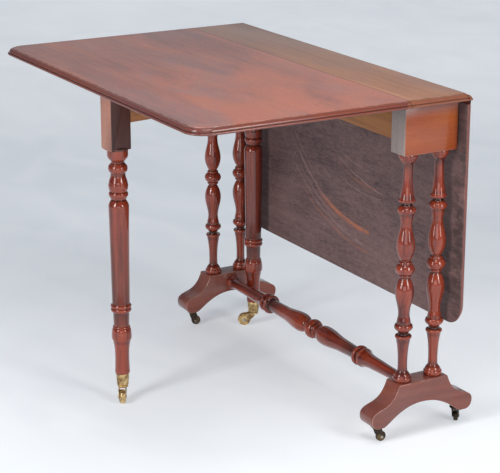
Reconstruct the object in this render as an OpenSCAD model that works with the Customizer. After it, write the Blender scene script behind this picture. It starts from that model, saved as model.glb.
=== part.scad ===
// Drop-leaf table of the narrow gate-leg kind: a fixed centre board on two turned end frames,
// a wide leaf on each side, and two gates that swing out on wooden knuckles to hold the leaves up.
// X runs along the centre board, Y across the leaves and Z up. The origin is on the floor, in the
// middle of the space that the table takes up with the front leaf raised and the rear leaf down.
// Lengths are in millimetres.

/* [Top] */
// Length of the top, over its moulded ends
top_length = 910; // [860:5:1000]
// Height of the top surface above the floor
table_height = 720; // [700:5:760]
// Distance between the two joint lines of the centre board
joint_spacing = 135; // [132:1:150]
// Width of a leaf, from its joint line to its outer edge
leaf_width = 475; // [465:5:520]
// Thickness of the boards of the top
board_t = 14; // [14:0.5:17]
// Corner radius of a leaf in plan
leaf_corner_r = 45; // [25:1:70]
// Width of the moulded edge, from the flat top to the outermost edge
edge_w = 12; // [11:0.5:14]
// Height of the hinge pins above the underside of the top
hinge_pin_h = 2.5; // [2.3:0.1:2.7]
// Gap between a leaf and the centre board in the rule joint
rule_gap = 0.3; // [0.2:0.05:0.5]
// Height of the square step above the rounded nose and above the moulded edge's curve
fillet_h = 2; // [1.5:0.1:2.4]

/* [End frames] */
// Distance from the end of the top to the middle of an end frame
end_inset = 51.5; // [46:0.5:70]
// Thickness of an end block along the table
block_t = 48; // [44:1:56]
// Gap between an end block and a hanging leaf
block_gap = 2; // [1:0.5:6]
// Height of an end block
block_h = 102; // [95:1:110]
// Gap between the widest bead of a column and a hanging leaf
column_gap = 7.3; // [4:0.1:10]
// Thickness of a foot along the table
foot_t = 48; // [44:1:56]
// Distance across a foot, from toe to toe
foot_span = 250; // [230:2:280]
// Height of a foot's flat top above the floor
foot_top_z = 122; // [118:1:130]
// Margin of a foot's flat top beyond the columns' base rings
foot_shelf = 2.5; // [1:0.5:6]
// Height of a foot's underside at its toes above the floor
toe_z = 36.5; // [34:0.5:42]
// Height of the arch of a foot above the floor
arch_z = 76; // [66:1:78]
// Height of the stretcher's axis above the floor
stretcher_z = 98; // [96:0.5:100]

/* [Rails and gates] */
// Thickness of the centre rail, the knuckle rails and the fly rails
rail_t = 22; // [20:0.5:24]
// Height of the centre rail
centre_rail_h = 98; // [90:1:100]
// Height of the knuckle rails and the fly rails
fly_rail_h = 88; // [80:1:92]
// Distance from the middle of an end frame to the axis of a closed gate leg
closed_leg_inset = 80.5; // [72:0.5:100]
// Distance from a knuckle pin to the axis of its gate leg, along the rail
gate_reach = 432; // [420:1:440]
// How far the front gate is swung out from the closed place
gate_open_angle = 82.5; // [60:0.5:88]
// Number of fingers in a knuckle
knuckle_fingers = 5; // [5:2:7]
// Diameter of a knuckle pin
knuckle_pin_d = 5; // [4:0.5:6]
// Width of a gate leg's square block
leg_block_w = 48; // [46:1:50]
// Distance from the leg's axis to the inner face of its block
leg_block_inner = 16; // [14:0.5:18]
// Height of a gate leg's square block
leg_block_h = 145; // [130:1:160]

/* [Casters] */
// Diameter of a gate caster's wheel
gate_wheel_d = 30.4; // [28:0.2:32]
// Width of a gate caster's wheel
gate_wheel_w = 11.5; // [10:0.5:13]
// Distance from a gate caster's swivel axis to its wheel's axle
gate_trail = 22; // [21:0.5:25]
// Direction that the front gate caster trails in, from the +X axis
front_gate_caster_angle = -30; // [-180:5:180]
// Direction that the rear gate caster trails in, from the +X axis
rear_gate_caster_angle = -120; // [-180:5:180]
// Diameter of a foot caster's wheel
foot_wheel_d = 21.5; // [20:0.5:23]
// Width of a foot caster's wheel
foot_wheel_w = 9; // [8:0.5:10]
// Distance from a foot caster's swivel axis to its wheel's axle
foot_trail = 11; // [10:0.5:13]
// Distance from a foot caster's swivel axis to the tip of the toe
foot_caster_inset = 25; // [23:0.5:32]

/* [Rule-joint hinges] */
// Distance from the end of the top to the middle of a hinge
hinge_inset = 165; // [120:5:250]
// Length of a hinge along its pin
hinge_l = 38; // [32:1:45]
// Thickness of a hinge plate
hinge_t = 1.4; // [1.2:0.1:1.6]
// Diameter of a hinge pin
hinge_pin_d = 2.4; // [2:0.1:2.6]

/* [Fits] */
// Radial clearance of a pin or axle in what turns on it
run_fit = 0.05; // [0.02:0.01:0.1]
// Clearance round a fixed tenon or spigot in its mortise
glue_fit = 0.1; // [0.05:0.05:0.3]
// Gap between faces that slide or swing past each other
swing_gap = 0.3; // [0.25:0.05:0.5]

/* [Hidden] */
$fn = 96;
eps = 0.5;
CURVE_STEPS = 7;
SIDES = [-1, 1];
FRONT = -1;
REAR = 1;
NEAR = 1;
FAR = -1;

// Places across and up the table
joint_y = joint_spacing / 2;
half_length = top_length / 2;
under_z = table_height - board_t;
rule_r = board_t - fillet_h - hinge_pin_h;
pivot_h = hinge_pin_h;
pivot_z = under_z + pivot_h;
barrel_r = pivot_h;
frame_y = (joint_y + leaf_width - foot_span / 2) / 2;

// Radii of a column at its base, round its base ring and round the bobbin in its middle
COLUMN_BASE_R = 17.2;
COLUMN_RING_R = 19.5;
COLUMN_MAX_R = 19.7;

// Places of the end frames
end_x = half_length - end_inset;
block_w = 2 * (joint_y - hinge_pin_h - block_gap);
block_z = under_z - block_h;
column_y = joint_y - hinge_pin_h - column_gap - COLUMN_MAX_R;
foot_top_w = 2 * (column_y + COLUMN_RING_R + foot_shelf);
column_h = block_z - foot_top_z;
stretcher_l = 2 * (end_x - foot_t / 2);
rail_l = 2 * (end_x - block_t / 2);
column_tenon_r = 8;
column_tenon_l = 24;
stretcher_tenon_r = 7;
stretcher_tenon_l = 20;
rail_tenon = [18, 10, 60];
rail_screw_x = end_x - 185.5;

// Places of the rails and gates: the gates are alike, turned half round from each other
pin_x = gate_reach - end_x + closed_leg_inset;
pin_y = rail_t + 1;
rail_top_gap = swing_gap;
leg_y = rail_t / 2 + 1 + leg_block_inner;
leg_lateral = leg_y - pin_y;
leg_block_outer = 24;
leg_block_z = under_z - leg_block_h;
shoulder = rail_t / 2 + 0.5;
finger_h = fly_rail_h / knuckle_fingers;
fly_tenon = [26, 9, 66];

// Casters
socket_top_z = 62;
socket_floor_z = 34;
socket_bore_r = 11;
socket_r = 14;
gate_horn_t = 3.6;
foot_plate_t = 2;
foot_plate_r = 12;
foot_horn_t = 3.4;
caster_y = foot_span / 2 - foot_caster_inset;
FOOT_CASTER_ANGLES = [[54, 100], [80, 133]];

// Hinges and screws
hinge_x = half_length - hinge_inset;
table_plate_w = 26;
leaf_plate_w = 44;
hinge_third = hinge_l / 3;
hinge_screw_r = 1.5;
hinge_screw_head_r = 2.9;
hinge_screw_l = 9;
TABLE_SCREW_Y = [-9, -20];
LEAF_SCREW_Y = [17, 28, 38];

MAHOGANY = "#6b2a1c";
BOARD_TOP = "#7a3424";
OLD_UNDERSIDE = "#4d3a36";
PALE_WOOD = "#b58748";
BRASS = "#9c7a3c";
DARK_BRASS = "#5b4a2c";
STEEL = "#77736c";

// ---- turned outlines ------------------------------------------------------------------------
// A turning is a list of stretches, each [kind, length, end radius, shape]. "line" is straight,
// "ogee" an S-curve, "flare" and "dome" start and end gently with shape as the power, and "bead"
// bulges by shape (or hollows, where it is negative) from one end to the other.
function along(kind, i) =
    kind == "bead" ? (1 - cos(180 * i / CURVE_STEPS)) / 2 : i / CURVE_STEPS;
function stretch_r(kind, t, r0, r1, shape) =
    kind == "ogee" ? r0 + (r1 - r0) * (1 - cos(180 * t)) / 2 :
    kind == "flare" ? r0 + (r1 - r0) * pow(t, shape) :
    kind == "dome" ? r1 - (r1 - r0) * pow(1 - t, shape) :
    kind == "bead" ? r0 + (r1 - r0) * t + shape * sqrt(max(0, 1 - pow(2 * t - 1, 2))) :
    r0 + (r1 - r0) * t;
function steps_of(kind) = kind == "line" ? [CURVE_STEPS] : [1 : CURVE_STEPS];
function turned(stretches, r0, scale_z, i = 0, z0 = 0) =
    i == len(stretches) ? [] :
    let (s = stretches[i])
    concat(
        [for (k = steps_of(s[0]))
            let (t = along(s[0], k))
            [stretch_r(s[0], t, r0, s[2], s[3]), (z0 + s[1] * t) * scale_z]],
        turned(stretches, s[2], scale_z, i + 1, z0 + s[1])
    );
function total_length(stretches, i = 0) =
    i == len(stretches) ? 0 : stretches[i][1] + total_length(stretches, i + 1);
function reflected(half, full) = [for (i = [len(half) - 2 : -1 : 0]) [half[i][0], full - half[i][1]]];

// Half of a column, from its base ring up to the bobbin in its middle
COLUMN_HALF = [
    ["bead", 11, COLUMN_BASE_R, COLUMN_RING_R - COLUMN_BASE_R],
    ["line", 0.8, 16.6, 0],
    ["ogee", 13.2, 10, 0],
    ["line", 10, 9.8, 0],
    ["flare", 59, 15.4, 2.4],
    ["line", 0.8, 16.6, 0],
    ["bead", 4.6, 16.2, 0.9],
    ["line", 0.9, 11, 0],
    ["bead", 5.5, 11.4, -1.9],
    ["ogee", 8.6, 18, 0],
    ["bead", 9, 16, 2],
    ["line", 0.8, 14.6, 0],
    ["ogee", 21, 11.7, 0],
    ["ogee", 47, 19.2, 0],
    ["flare", 29, 10.4, 2],
    ["line", 2, 10.2, 0],
    ["bead", 5, 12.6, 1.5],
    ["ogee", 6, 17.6, 0],
    ["dome", 6.3, COLUMN_MAX_R, 2]
];

// A gate leg, from the shoulder above its caster up to its square block
LEG_BASE_R = 15.2;
LEG_STRETCHES = [
    ["bead", 7, 16, 0.6],
    ["line", 25, 15.3, 0],
    ["flare", 46, 20.2, 3],
    ["bead", 26, 18.4, 2.2],
    ["line", 0.6, 17.4, 0],
    ["bead", 4, 17.2, 1.5],
    ["line", 0.6, 16.6, 0],
    ["line", 30.8, 17.6, 0],
    ["line", 1.5, 19.2, 0],
    ["bead", 8.5, 19.2, 3],
    ["bead", 8.5, 19.2, 3.2],
    ["line", 1.5, 18.7, 0],
    ["line", 188, 21.3, 0],
    ["line", 27, 21.9, 0],
    ["flare", 16, 14.6, 2],
    ["line", 1.5, 17, 0],
    ["ogee", 4.5, 18.4, 0],
    ["bead", 10, 18.4, 2.3],
    ["line", 0.8, 17.4, 0],
    ["bead", 17.2, 20.2, 1.8],
    ["ogee", 20, 15.8, 0],
    ["line", 3.5, 16.1, 0],
    ["line", 2.5, 17.4, 0],
    ["bead", 15, 17.2, 3.3],
    ["ogee", 5, 14.1, 0],
    ["ogee", 13, 21.4, 0],
    ["line", 0.8, 22.2, 0],
    ["line", 13.7, 22.2, 0]
];

// Half of the stretcher: from the middle of its centre bead out to the swelling, which is drawn to
// fit, and from there to the foot, past the closed gate legs, which keeps its own length
STRETCHER_MID_R = 22.4;
STRETCHER_MIDDLE = [
    ["flare", 9, 19.4, 2],
    ["line", 0.8, 15.4, 0],
    ["bead", 5.2, 14.2, -1.4],
    ["bead", 5, 14.2, 2.6],
    ["bead", 6, 14.6, -1.6],
    ["dome", 27, 22, 2],
    ["ogee", 73, 15.8, 0],
    ["line", 58, 13.8, 0],
    ["line", 0.8, 18.4, 0],
    ["bead", 9.2, 18.4, 4],
    ["line", 0.8, 15.8, 0],
    ["bead", 6.4, 16, -1],
    ["line", 0.8, 18.6, 0],
    ["bead", 7.5, 20, 1.9],
    ["dome", 42, 14.6, 2.4]
];
STRETCHER_END_R = 14.6;
STRETCHER_END = [
    ["line", 50.13, 12.5, 0],
    ["line", 58.15, 11.8, 0],
    ["ogee", 7.02, 14.6, 0],
    ["bead", 12.03, 14.6, 1.6]
];

function column_outline() =
    let (
        half_h = column_h / 2,
        k = half_h / total_length(COLUMN_HALF),
        half = concat([[COLUMN_BASE_R, 0]], turned(COLUMN_HALF, COLUMN_BASE_R, k))
    )
    concat([[0, 0]], half, reflected(half, column_h), [[0, column_h]]);
function leg_outline() =
    let (
        h = leg_block_z - socket_top_z,
        k = h / total_length(LEG_STRETCHES)
    )
    concat([[0, 0], [LEG_BASE_R, 0]], turned(LEG_STRETCHES, LEG_BASE_R, k), [[0, h]]);
function stretcher_outline() =
    let (
        half_l = stretcher_l / 2,
        middle_l = half_l - total_length(STRETCHER_END),
        k = middle_l / total_length(STRETCHER_MIDDLE),
        half = concat(
            [[STRETCHER_MID_R, 0]],
            turned(STRETCHER_MIDDLE, STRETCHER_MID_R, k),
            turned(STRETCHER_END, STRETCHER_END_R, 1, 0, middle_l)
        )
    )
    concat(
        [[0, -half_l]],
        [for (i = [len(half) - 1 : -1 : 1]) [half[i][0], -half[i][1]]],
        half,
        [[0, half_l]]
    );

// ---- shared shapes --------------------------------------------------------------------------
function bezier(p, t) =
    pow(1 - t, 3) * p[0] + 3 * pow(1 - t, 2) * t * p[1] + 3 * (1 - t) * t * t * p[2] + pow(t, 3) * p[3];
function curve(p, steps = 8) = [for (i = [1 : steps]) bezier(p, i / steps)];

module table_frame() {
    translate([0, frame_y, 0]) children();
}

module bar(size, from) {
    translate(from) cube(size);
}

module centred_bar(size, at) {
    translate(at) cube(size, center = true);
}

// Puts what is drawn for the rear side on the side asked for
module on_side(side) {
    mirror([0, side == FRONT ? 1 : 0, 0]) children();
}

// Turns what is drawn for the front gate half round for the rear gate
module gate_turn(side) {
    rotate([0, 0, side == FRONT ? 0 : 180]) children();
}

// Swings a gate's pieces, drawn closed, to the place they stand in
module gate_place(side) {
    angle = side == FRONT ? gate_open_angle : 0;
    table_frame() gate_turn(side)
        translate([-pin_x, -pin_y, 0]) rotate([0, 0, -angle]) children();
}

// Tips a leaf's pieces, drawn raised on the rear side, to the place they hang or lie in
module leaf_place(side) {
    angle = side == REAR ? -90 : 0;
    table_frame() on_side(side)
        translate([0, joint_y, pivot_z]) rotate([angle, 0, 0]) translate([0, -joint_y, -pivot_z])
            children();
}

// ---- the top --------------------------------------------------------------------------------
// What the moulding plane takes off: x outward from the flat top's edge, y down from the surface
module moulding_waste() {
    step = fillet_h / 2;
    ovolo_r = min(board_t / 2, edge_w - 4);
    quirk_h = 0.8;
    bead_r = (board_t - step - ovolo_r - quirk_h - 0.4) / 2;
    bead_y = -step - ovolo_r - quirk_h - bead_r;
    ovolo_x = edge_w - 3.5 - ovolo_r;
    difference() {
        translate([0, -board_t - eps]) square([edge_w + eps, board_t + 2 * eps]);
        translate([-eps, -board_t - 2 * eps])
            square([ovolo_x + eps, board_t + 2 * eps - step]);
        intersection() {
            translate([ovolo_x, -step - ovolo_r]) circle(r = ovolo_r);
            translate([0, -step - ovolo_r]) square([edge_w, ovolo_r]);
        }
        translate([-eps, -board_t - 2 * eps])
            square([edge_w - 5 + eps, board_t + 2 * eps - step - ovolo_r]);
        translate([edge_w - bead_r, bead_y]) circle(r = bead_r);
        translate([-eps, -board_t - 2 * eps])
            square([edge_w - bead_r + eps, 2 * eps + board_t + bead_y + bead_r]);
    }
}

// A straight run of moulding waste along +Y from y0 to y1, facing +X, its outer edge at x
module waste_run_y(x, y0, y1) {
    translate([x - edge_w, y1, table_height])
        rotate([90, 0, 0]) linear_extrude(y1 - y0) moulding_waste();
}

module end_wastes(y0, y1) {
    for (m = [0, 1]) mirror([m, 0, 0]) waste_run_y(half_length, y0, y1);
}

module leaf_corner_waste() {
    translate([half_length - leaf_corner_r, joint_y + leaf_width - leaf_corner_r, table_height])
        rotate_extrude(angle = 90)
            translate([leaf_corner_r - edge_w, 0]) moulding_waste();
}

module leaf_blank() {
    outer_y = joint_y + leaf_width;
    bar([2 * (half_length - leaf_corner_r), leaf_width, board_t],
        [-half_length + leaf_corner_r, joint_y, under_z]);
    bar([2 * half_length, leaf_width - leaf_corner_r, board_t], [-half_length, joint_y, under_z]);
    for (s = SIDES)
        translate([s * (half_length - leaf_corner_r), outer_y - leaf_corner_r, under_z])
            cylinder(r = leaf_corner_r, h = board_t);
}

// A leaf drawn raised on the rear side
module leaf() {
    run_x = half_length - leaf_corner_r;
    outer_y = joint_y + leaf_width;
    difference() {
        leaf_blank();
        end_wastes(joint_y - eps, outer_y - leaf_corner_r);
        for (m = [0, 1]) mirror([m, 0, 0]) leaf_corner_waste();
        translate([-run_x, outer_y - edge_w, table_height])
            rotate([90, 0, 90]) linear_extrude(2 * run_x) moulding_waste();
        bar([2 * top_length, rule_gap + eps, board_t + 2 * eps],
            [-top_length, joint_y - eps, under_z - eps]);
        translate([-top_length, joint_y, pivot_z]) rotate([0, 90, 0])
            cylinder(r = rule_r + rule_gap, h = 2 * top_length);
        bar([2 * top_length, rule_r, pivot_h + eps], [-top_length, joint_y, under_z - eps]);
        for (s = SIDES) leaf_plate_recess(s * hinge_x);
        leaf_screw_shapes();
    }
}

module centre_board_shape() {
    difference() {
        union() {
            bar([top_length, joint_spacing, board_t], [-half_length, -joint_y, under_z]);
            for (s = SIDES) intersection() {
                translate([-half_length, s * joint_y, pivot_z]) rotate([0, 90, 0])
                    cylinder(r = rule_r, h = top_length);
                centred_bar([top_length, 4 * rule_r, rule_r + pivot_h],
                    [0, s * joint_y, under_z + (rule_r + pivot_h) / 2]);
            }
        }
        end_wastes(-joint_y - 2 * rule_r, joint_y + 2 * rule_r);
        for (side = SIDES) on_side(side) {
            for (s = SIDES) table_plate_recess(s * hinge_x);
            table_screw_shapes();
        }
        top_screw_shapes(glue_fit);
    }
}

module centre_board() {
    color(BOARD_TOP) table_frame() centre_board_shape();
}
module front_leaf() {
    color(BOARD_TOP) leaf_place(FRONT) leaf();
}
module rear_leaf() {
    color(OLD_UNDERSIDE) leaf_place(REAR) leaf();
}

// ---- rule-joint hinges, drawn for the rear side with the leaf raised --------------------------
module hinge_at(x) {
    translate([x, joint_y, pivot_z]) children();
}

module x_rod(r, l) {
    rotate([0, 90, 0]) cylinder(r = r, h = l, center = true);
}

module table_plate_recess(x) {
    hinge_at(x) {
        bar([hinge_l + 2 * glue_fit, table_plate_w + glue_fit, hinge_t + eps],
            [-hinge_l / 2 - glue_fit, -table_plate_w - glue_fit, -pivot_h - eps]);
        x_rod(barrel_r + swing_gap, hinge_l + 2 * swing_gap);
        bar([hinge_l + 2 * swing_gap, barrel_r + swing_gap + 2 * rule_r, pivot_h + eps],
            [-hinge_l / 2 - swing_gap, -barrel_r - swing_gap, -pivot_h - eps]);
    }
}

module leaf_plate_recess(x) {
    hinge_at(x)
        bar([hinge_l + 2 * glue_fit, leaf_plate_w - rule_r + glue_fit + 1, hinge_t + eps],
            [-hinge_l / 2 - glue_fit, rule_r - 1, -pivot_h - eps]);
}

module plate_screw_shapes(rows) {
    for (y = rows) translate([0, y, -pivot_h]) {
        cylinder(r1 = hinge_screw_head_r, r2 = hinge_screw_r, h = hinge_t);
        cylinder(r = hinge_screw_r, h = hinge_screw_l);
    }
}

module table_screw_shapes() {
    for (s = SIDES, k = SIDES) hinge_at(s * hinge_x + k * hinge_l / 4)
        plate_screw_shapes(TABLE_SCREW_Y);
}

module leaf_screw_shapes() {
    for (s = SIDES, k = SIDES) hinge_at(s * hinge_x + k * hinge_l / 4)
        plate_screw_shapes(LEAF_SCREW_Y);
}

module table_plates() {
    third = hinge_third - swing_gap / 2;
    difference() {
        for (s = SIDES) hinge_at(s * hinge_x) {
            bar([hinge_l, table_plate_w - barrel_r - swing_gap, hinge_t],
                [-hinge_l / 2, -table_plate_w, -pivot_h]);
            for (k = SIDES) translate([k * (hinge_l - third) / 2, 0, 0]) {
                x_rod(barrel_r, third);
                bar([third, table_plate_w / 2, hinge_t], [-third / 2, -table_plate_w / 2, -pivot_h]);
            }
        }
        for (s = SIDES) hinge_at(s * hinge_x) x_rod(hinge_pin_d / 2, hinge_l + 2 * eps);
        table_screw_shapes();
    }
}

module leaf_plates() {
    third = hinge_third - swing_gap;
    clear_y = barrel_r + swing_gap;
    difference() {
        for (s = SIDES) hinge_at(s * hinge_x) {
            bar([hinge_l, leaf_plate_w - clear_y, hinge_t], [-hinge_l / 2, clear_y, -pivot_h]);
            x_rod(barrel_r, third);
            bar([third, leaf_plate_w / 2, hinge_t], [-third / 2, 0, -pivot_h]);
        }
        for (s = SIDES) hinge_at(s * hinge_x) x_rod(hinge_pin_d / 2 + run_fit, hinge_l);
        leaf_screw_shapes();
    }
}

module hinge_pins(side) {
    color(STEEL) table_frame() on_side(side)
        for (s = SIDES) hinge_at(s * hinge_x) x_rod(hinge_pin_d / 2, hinge_l);
}
module hinge_table_plates(side) {
    color(BRASS) table_frame() on_side(side) table_plates();
}
module hinge_leaf_plates(side) {
    color(BRASS) leaf_place(side) leaf_plates();
}
module leaf_screws(side) {
    color(STEEL) leaf_place(side) leaf_screw_shapes();
}
module hinge_table_screws() {
    color(STEEL) table_frame() for (side = SIDES) on_side(side) table_screw_shapes();
}

// ---- end frames -----------------------------------------------------------------------------
module column_tenons(fit) {
    for (x = SIDES, y = SIDES) translate([x * end_x, y * column_y, foot_top_z])
        translate([0, 0, -column_tenon_l - fit * 4])
            cylinder(r = column_tenon_r + fit, h = column_h + 2 * column_tenon_l + fit * 8);
}

module end_block(s) {
    color(MAHOGANY) table_frame() difference() {
        centred_bar([block_t, block_w, block_h], [s * end_x, 0, block_z + block_h / 2]);
        column_tenons(glue_fit);
        centre_rail_body(glue_fit);
        top_screw_shapes(glue_fit);
    }
}

module column(x, y) {
    color(MAHOGANY) table_frame() translate([x * end_x, y * column_y, foot_top_z]) {
        rotate_extrude() polygon(column_outline());
        translate([0, 0, -column_tenon_l])
            cylinder(r = column_tenon_r, h = column_h + 2 * column_tenon_l);
    }
}

// Half of a foot's outline, from the middle of its top round the toe to the middle of its arch
function foot_half() =
    let (
        top = foot_top_w / 2,
        tip = foot_span / 2,
        knee = [tip - 32, toe_z + 44],
        toe = [tip, toe_z + 20],
        sole = [tip - 18, toe_z],
        heel = [tip - 30, toe_z]
    )
    concat(
        [[0, foot_top_z], [top, foot_top_z]],
        curve([[top, foot_top_z], [top + 7, foot_top_z - 22], [top + 17, knee[1] + 7], knee]),
        curve([knee, [knee[0] + 15, knee[1] - 6], [tip, toe[1] + 16], toe]),
        curve([toe, [tip, toe[1] - 12], [sole[0] + 11, toe_z], sole]),
        [heel],
        curve([heel, [heel[0] - 18, toe_z + 8], [tip * 0.42, arch_z], [0, arch_z]])
    );

module foot(s) {
    half = foot_half();
    outline = concat(half, [for (i = [len(half) - 2 : -1 : 1]) [-half[i][0], half[i][1]]]);
    color(MAHOGANY) table_frame() difference() {
        translate([s * end_x - foot_t / 2, 0, 0])
            rotate([90, 0, 90]) linear_extrude(foot_t) polygon(outline);
        column_tenons(glue_fit);
        stretcher_tenons(glue_fit);
        caster_screw_shapes();
    }
}

module stretcher_tenons(fit) {
    l = stretcher_l + 2 * (stretcher_tenon_l + fit * 4);
    translate([0, 0, stretcher_z]) x_rod(stretcher_tenon_r + fit, l);
}

module stretcher() {
    color(MAHOGANY) table_frame() {
        translate([0, 0, stretcher_z]) rotate([0, 90, 0])
            rotate_extrude() polygon(stretcher_outline());
        stretcher_tenons(0);
    }
}

// ---- rails ----------------------------------------------------------------------------------
module centre_rail_body(fit) {
    l = rail_l + 2 * (rail_tenon[0] + fit * 4);
    centred_bar([l, rail_tenon[1] + 2 * fit, rail_tenon[2] + 2 * fit],
        [0, 0, under_z - centre_rail_h / 2]);
}

module centre_rail() {
    color(PALE_WOOD) table_frame() difference() {
        union() {
            centred_bar([rail_l, rail_t, centre_rail_h], [0, 0, under_z - centre_rail_h / 2]);
            centre_rail_body(0);
        }
        top_screw_shapes(glue_fit);
        knuckle_screw_shapes();
    }
}

// Fingers of a knuckle about a pin at the origin, reaching towards +X: every other one
module knuckle_half(first, far_x) {
    z0 = under_z - fly_rail_h;
    gap = swing_gap;
    for (i = [0 : knuckle_fingers - 1]) {
        own = i % 2 == first;
        low = z0 + i * finger_h + (own && i > 0 ? gap / 2 : 0);
        high = z0 + (i + 1) * finger_h - (own && i < knuckle_fingers - 1 ? gap / 2 : 0);
        if (own) {
            translate([0, 0, low]) cylinder(r = rail_t / 2, h = high - low);
            bar([shoulder + eps, rail_t, high - low], [0, -rail_t / 2, low]);
        }
    }
    bar([far_x - shoulder, rail_t, fly_rail_h], [shoulder, -rail_t / 2, z0]);
}

module knuckle_rail(side) {
    color(PALE_WOOD) table_frame() difference() {
        gate_turn(side) difference() {
            translate([-pin_x, -pin_y, 0]) mirror([1, 0, 0])
                knuckle_half(0, rail_l / 2 - pin_x);
            translate([-pin_x, -pin_y, under_z - fly_rail_h - eps])
                cylinder(r = knuckle_pin_d / 2 + run_fit / 2, h = fly_rail_h + 2 * eps);
        }
        knuckle_screw_shapes();
    }
}

module knuckle_pin(side) {
    color(STEEL) table_frame() gate_turn(side)
        translate([-pin_x, -pin_y, under_z - fly_rail_h])
            cylinder(r = knuckle_pin_d / 2, h = fly_rail_h - swing_gap);
}

// The fly rail drawn closed, its pin at the origin
module fly_rail_shape() {
    face_x = gate_reach - leg_block_w / 2;
    z0 = under_z - fly_rail_h;
    difference() {
        union() {
            knuckle_half(1, face_x);
            centred_bar([2 * fly_tenon[0], fly_tenon[1], fly_tenon[2]],
                [face_x, 0, z0 + fly_rail_h / 2]);
        }
        translate([0, 0, z0 - eps])
            cylinder(r = knuckle_pin_d / 2 + run_fit, h = fly_rail_h + 2 * eps);
        bar([2 * gate_reach, 2 * rail_t, board_t], [-gate_reach, -rail_t, under_z - rail_top_gap]);
    }
}

module fly_rail(side) {
    color(PALE_WOOD) gate_place(side) fly_rail_shape();
}

// ---- gate legs, drawn closed with the pin at the origin ---------------------------------------
module leg_frame() {
    translate([gate_reach, -leg_lateral, 0]) children();
}

// Where a square block runs down into a turned leg, the lathe leaves a rounded shoulder
module leg_shoulder_round() {
    low_r = leg_block_w / 2 - 2.5;
    reach = leg_block_w * 0.75;
    drop = 7;
    rotate_extrude() polygon(concat(
        [[0, 0], [low_r, 0]],
        curve([[low_r, 0], [low_r + 6, 0], [reach, drop * 0.4], [reach, drop]]),
        [[reach, leg_block_h], [0, leg_block_h]]
    ));
}

module gate_leg(side) {
    block_depth = leg_block_inner + leg_block_outer;
    face_x = gate_reach - leg_block_w / 2;
    color(MAHOGANY) gate_place(side) difference() {
        leg_frame() {
            translate([0, 0, socket_top_z]) rotate_extrude() polygon(leg_outline());
            translate([0, 0, socket_floor_z + 4])
                cylinder(r = socket_bore_r, h = socket_top_z - socket_floor_z);
            intersection() {
                bar([leg_block_w, block_depth, leg_block_h - rail_top_gap],
                    [-leg_block_w / 2, -leg_block_outer, leg_block_z]);
                translate([0, 0, leg_block_z]) leg_shoulder_round();
            }
        }
        centred_bar([2 * fly_tenon[0] + 6 * glue_fit, fly_tenon[1] + 2 * glue_fit,
            fly_tenon[2] + 2 * glue_fit], [face_x, 0, under_z - fly_rail_h / 2]);
    }
}

// ---- casters --------------------------------------------------------------------------------
// A horn's side cheek: from the turntable's underside out and down to the axle
module cheek_outline(top_z, plate_r, axle_z, trail, boss_r) {
    polygon(concat(
        [[-plate_r * 0.55, top_z], [plate_r * 0.7, top_z]],
        curve([[plate_r * 0.7, top_z], [trail + boss_r * 0.4, top_z - 1],
            [trail + boss_r, axle_z + boss_r + 2], [trail + boss_r, axle_z]], 6),
        [[trail, axle_z - boss_r]],
        curve([[trail, axle_z - boss_r], [trail - boss_r * 1.6, axle_z - boss_r],
            [-plate_r * 0.2, axle_z + boss_r], [-plate_r * 0.55, top_z]], 6)
    ));
    translate([trail, axle_z]) circle(r = boss_r);
}

// A horn that turns about the Z axis and holds an axle across it at x = trail
module horn_shape(plate_r, plate_z, plate_t, axle_z, trail, wheel_w, boss_r, stem_r, axle_r) {
    cheek_t = wheel_w * 0.18;
    inner = wheel_w / 2 + 0.5;
    difference() {
        union() {
            translate([0, 0, plate_z]) cylinder(r = plate_r, h = plate_t);
            for (s = SIDES)
                translate([0, s > 0 ? inner + cheek_t : -inner, 0])
                    rotate([90, 0, 0]) linear_extrude(cheek_t)
                        cheek_outline(plate_z + plate_t / 2, plate_r, axle_z, trail, boss_r);
        }
        translate([0, 0, plate_z - eps]) cylinder(r = stem_r + run_fit, h = plate_t + 2 * eps);
        translate([trail, 0, axle_z]) rotate([90, 0, 0])
            cylinder(r = axle_r + run_fit / 2, h = 4 * wheel_w, center = true);
    }
}

module axle_shape(axle_z, trail, wheel_w, axle_r) {
    half_l = wheel_w * 0.68 + 0.5;
    translate([trail, 0, axle_z]) rotate([90, 0, 0]) {
        cylinder(r = axle_r, h = 2 * half_l, center = true);
        for (s = SIDES) translate([0, 0, s * (half_l + 0.5)])
            cylinder(r = axle_r * 1.7, h = 1, center = true);
    }
}

// A wheel with a rounded tread and dished sides, standing on the floor
module wheel_shape(wheel_d, wheel_w, trail, axle_r) {
    r = wheel_d / 2;
    w = wheel_w / 2;
    bore = axle_r + run_fit;
    hub_r = axle_r * 2.2;
    round_r = wheel_w * 0.22;
    translate([trail, 0, r]) rotate([90, 0, 0]) rotate_extrude() difference() {
        union() {
            translate([bore, -w]) square([r - round_r - bore, wheel_w]);
            translate([bore, -w + round_r]) square([r - bore, wheel_w - 2 * round_r]);
            for (s = SIDES) translate([r - round_r, s * (w - round_r)]) circle(r = round_r);
        }
        for (s = SIDES) translate([(hub_r + r * 0.82) / 2, s * w])
            square([r * 0.82 - hub_r, wheel_w * 0.22], center = true);
    }
}

GATE_STEM_R = 3;
GATE_AXLE_R = 2.2;
GATE_HORN_R = 11.5;
FOOT_STEM_R = 2.4;
FOOT_AXLE_R = 1.6;
FOOT_HORN_R = 9;
gate_horn_z = socket_floor_z - swing_gap - gate_horn_t;
foot_horn_z = toe_z - foot_plate_t - swing_gap - foot_horn_t;

module gate_caster_frame(side) {
    gate_place(side) leg_frame() children();
}

// Turns a gate caster to the direction it trails in, whatever way its gate stands
module gate_caster_turn(side) {
    stand = side == FRONT ? -gate_open_angle : 180;
    trail_angle = side == FRONT ? front_gate_caster_angle : rear_gate_caster_angle;
    rotate([0, 0, trail_angle - stand]) children();
}

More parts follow.
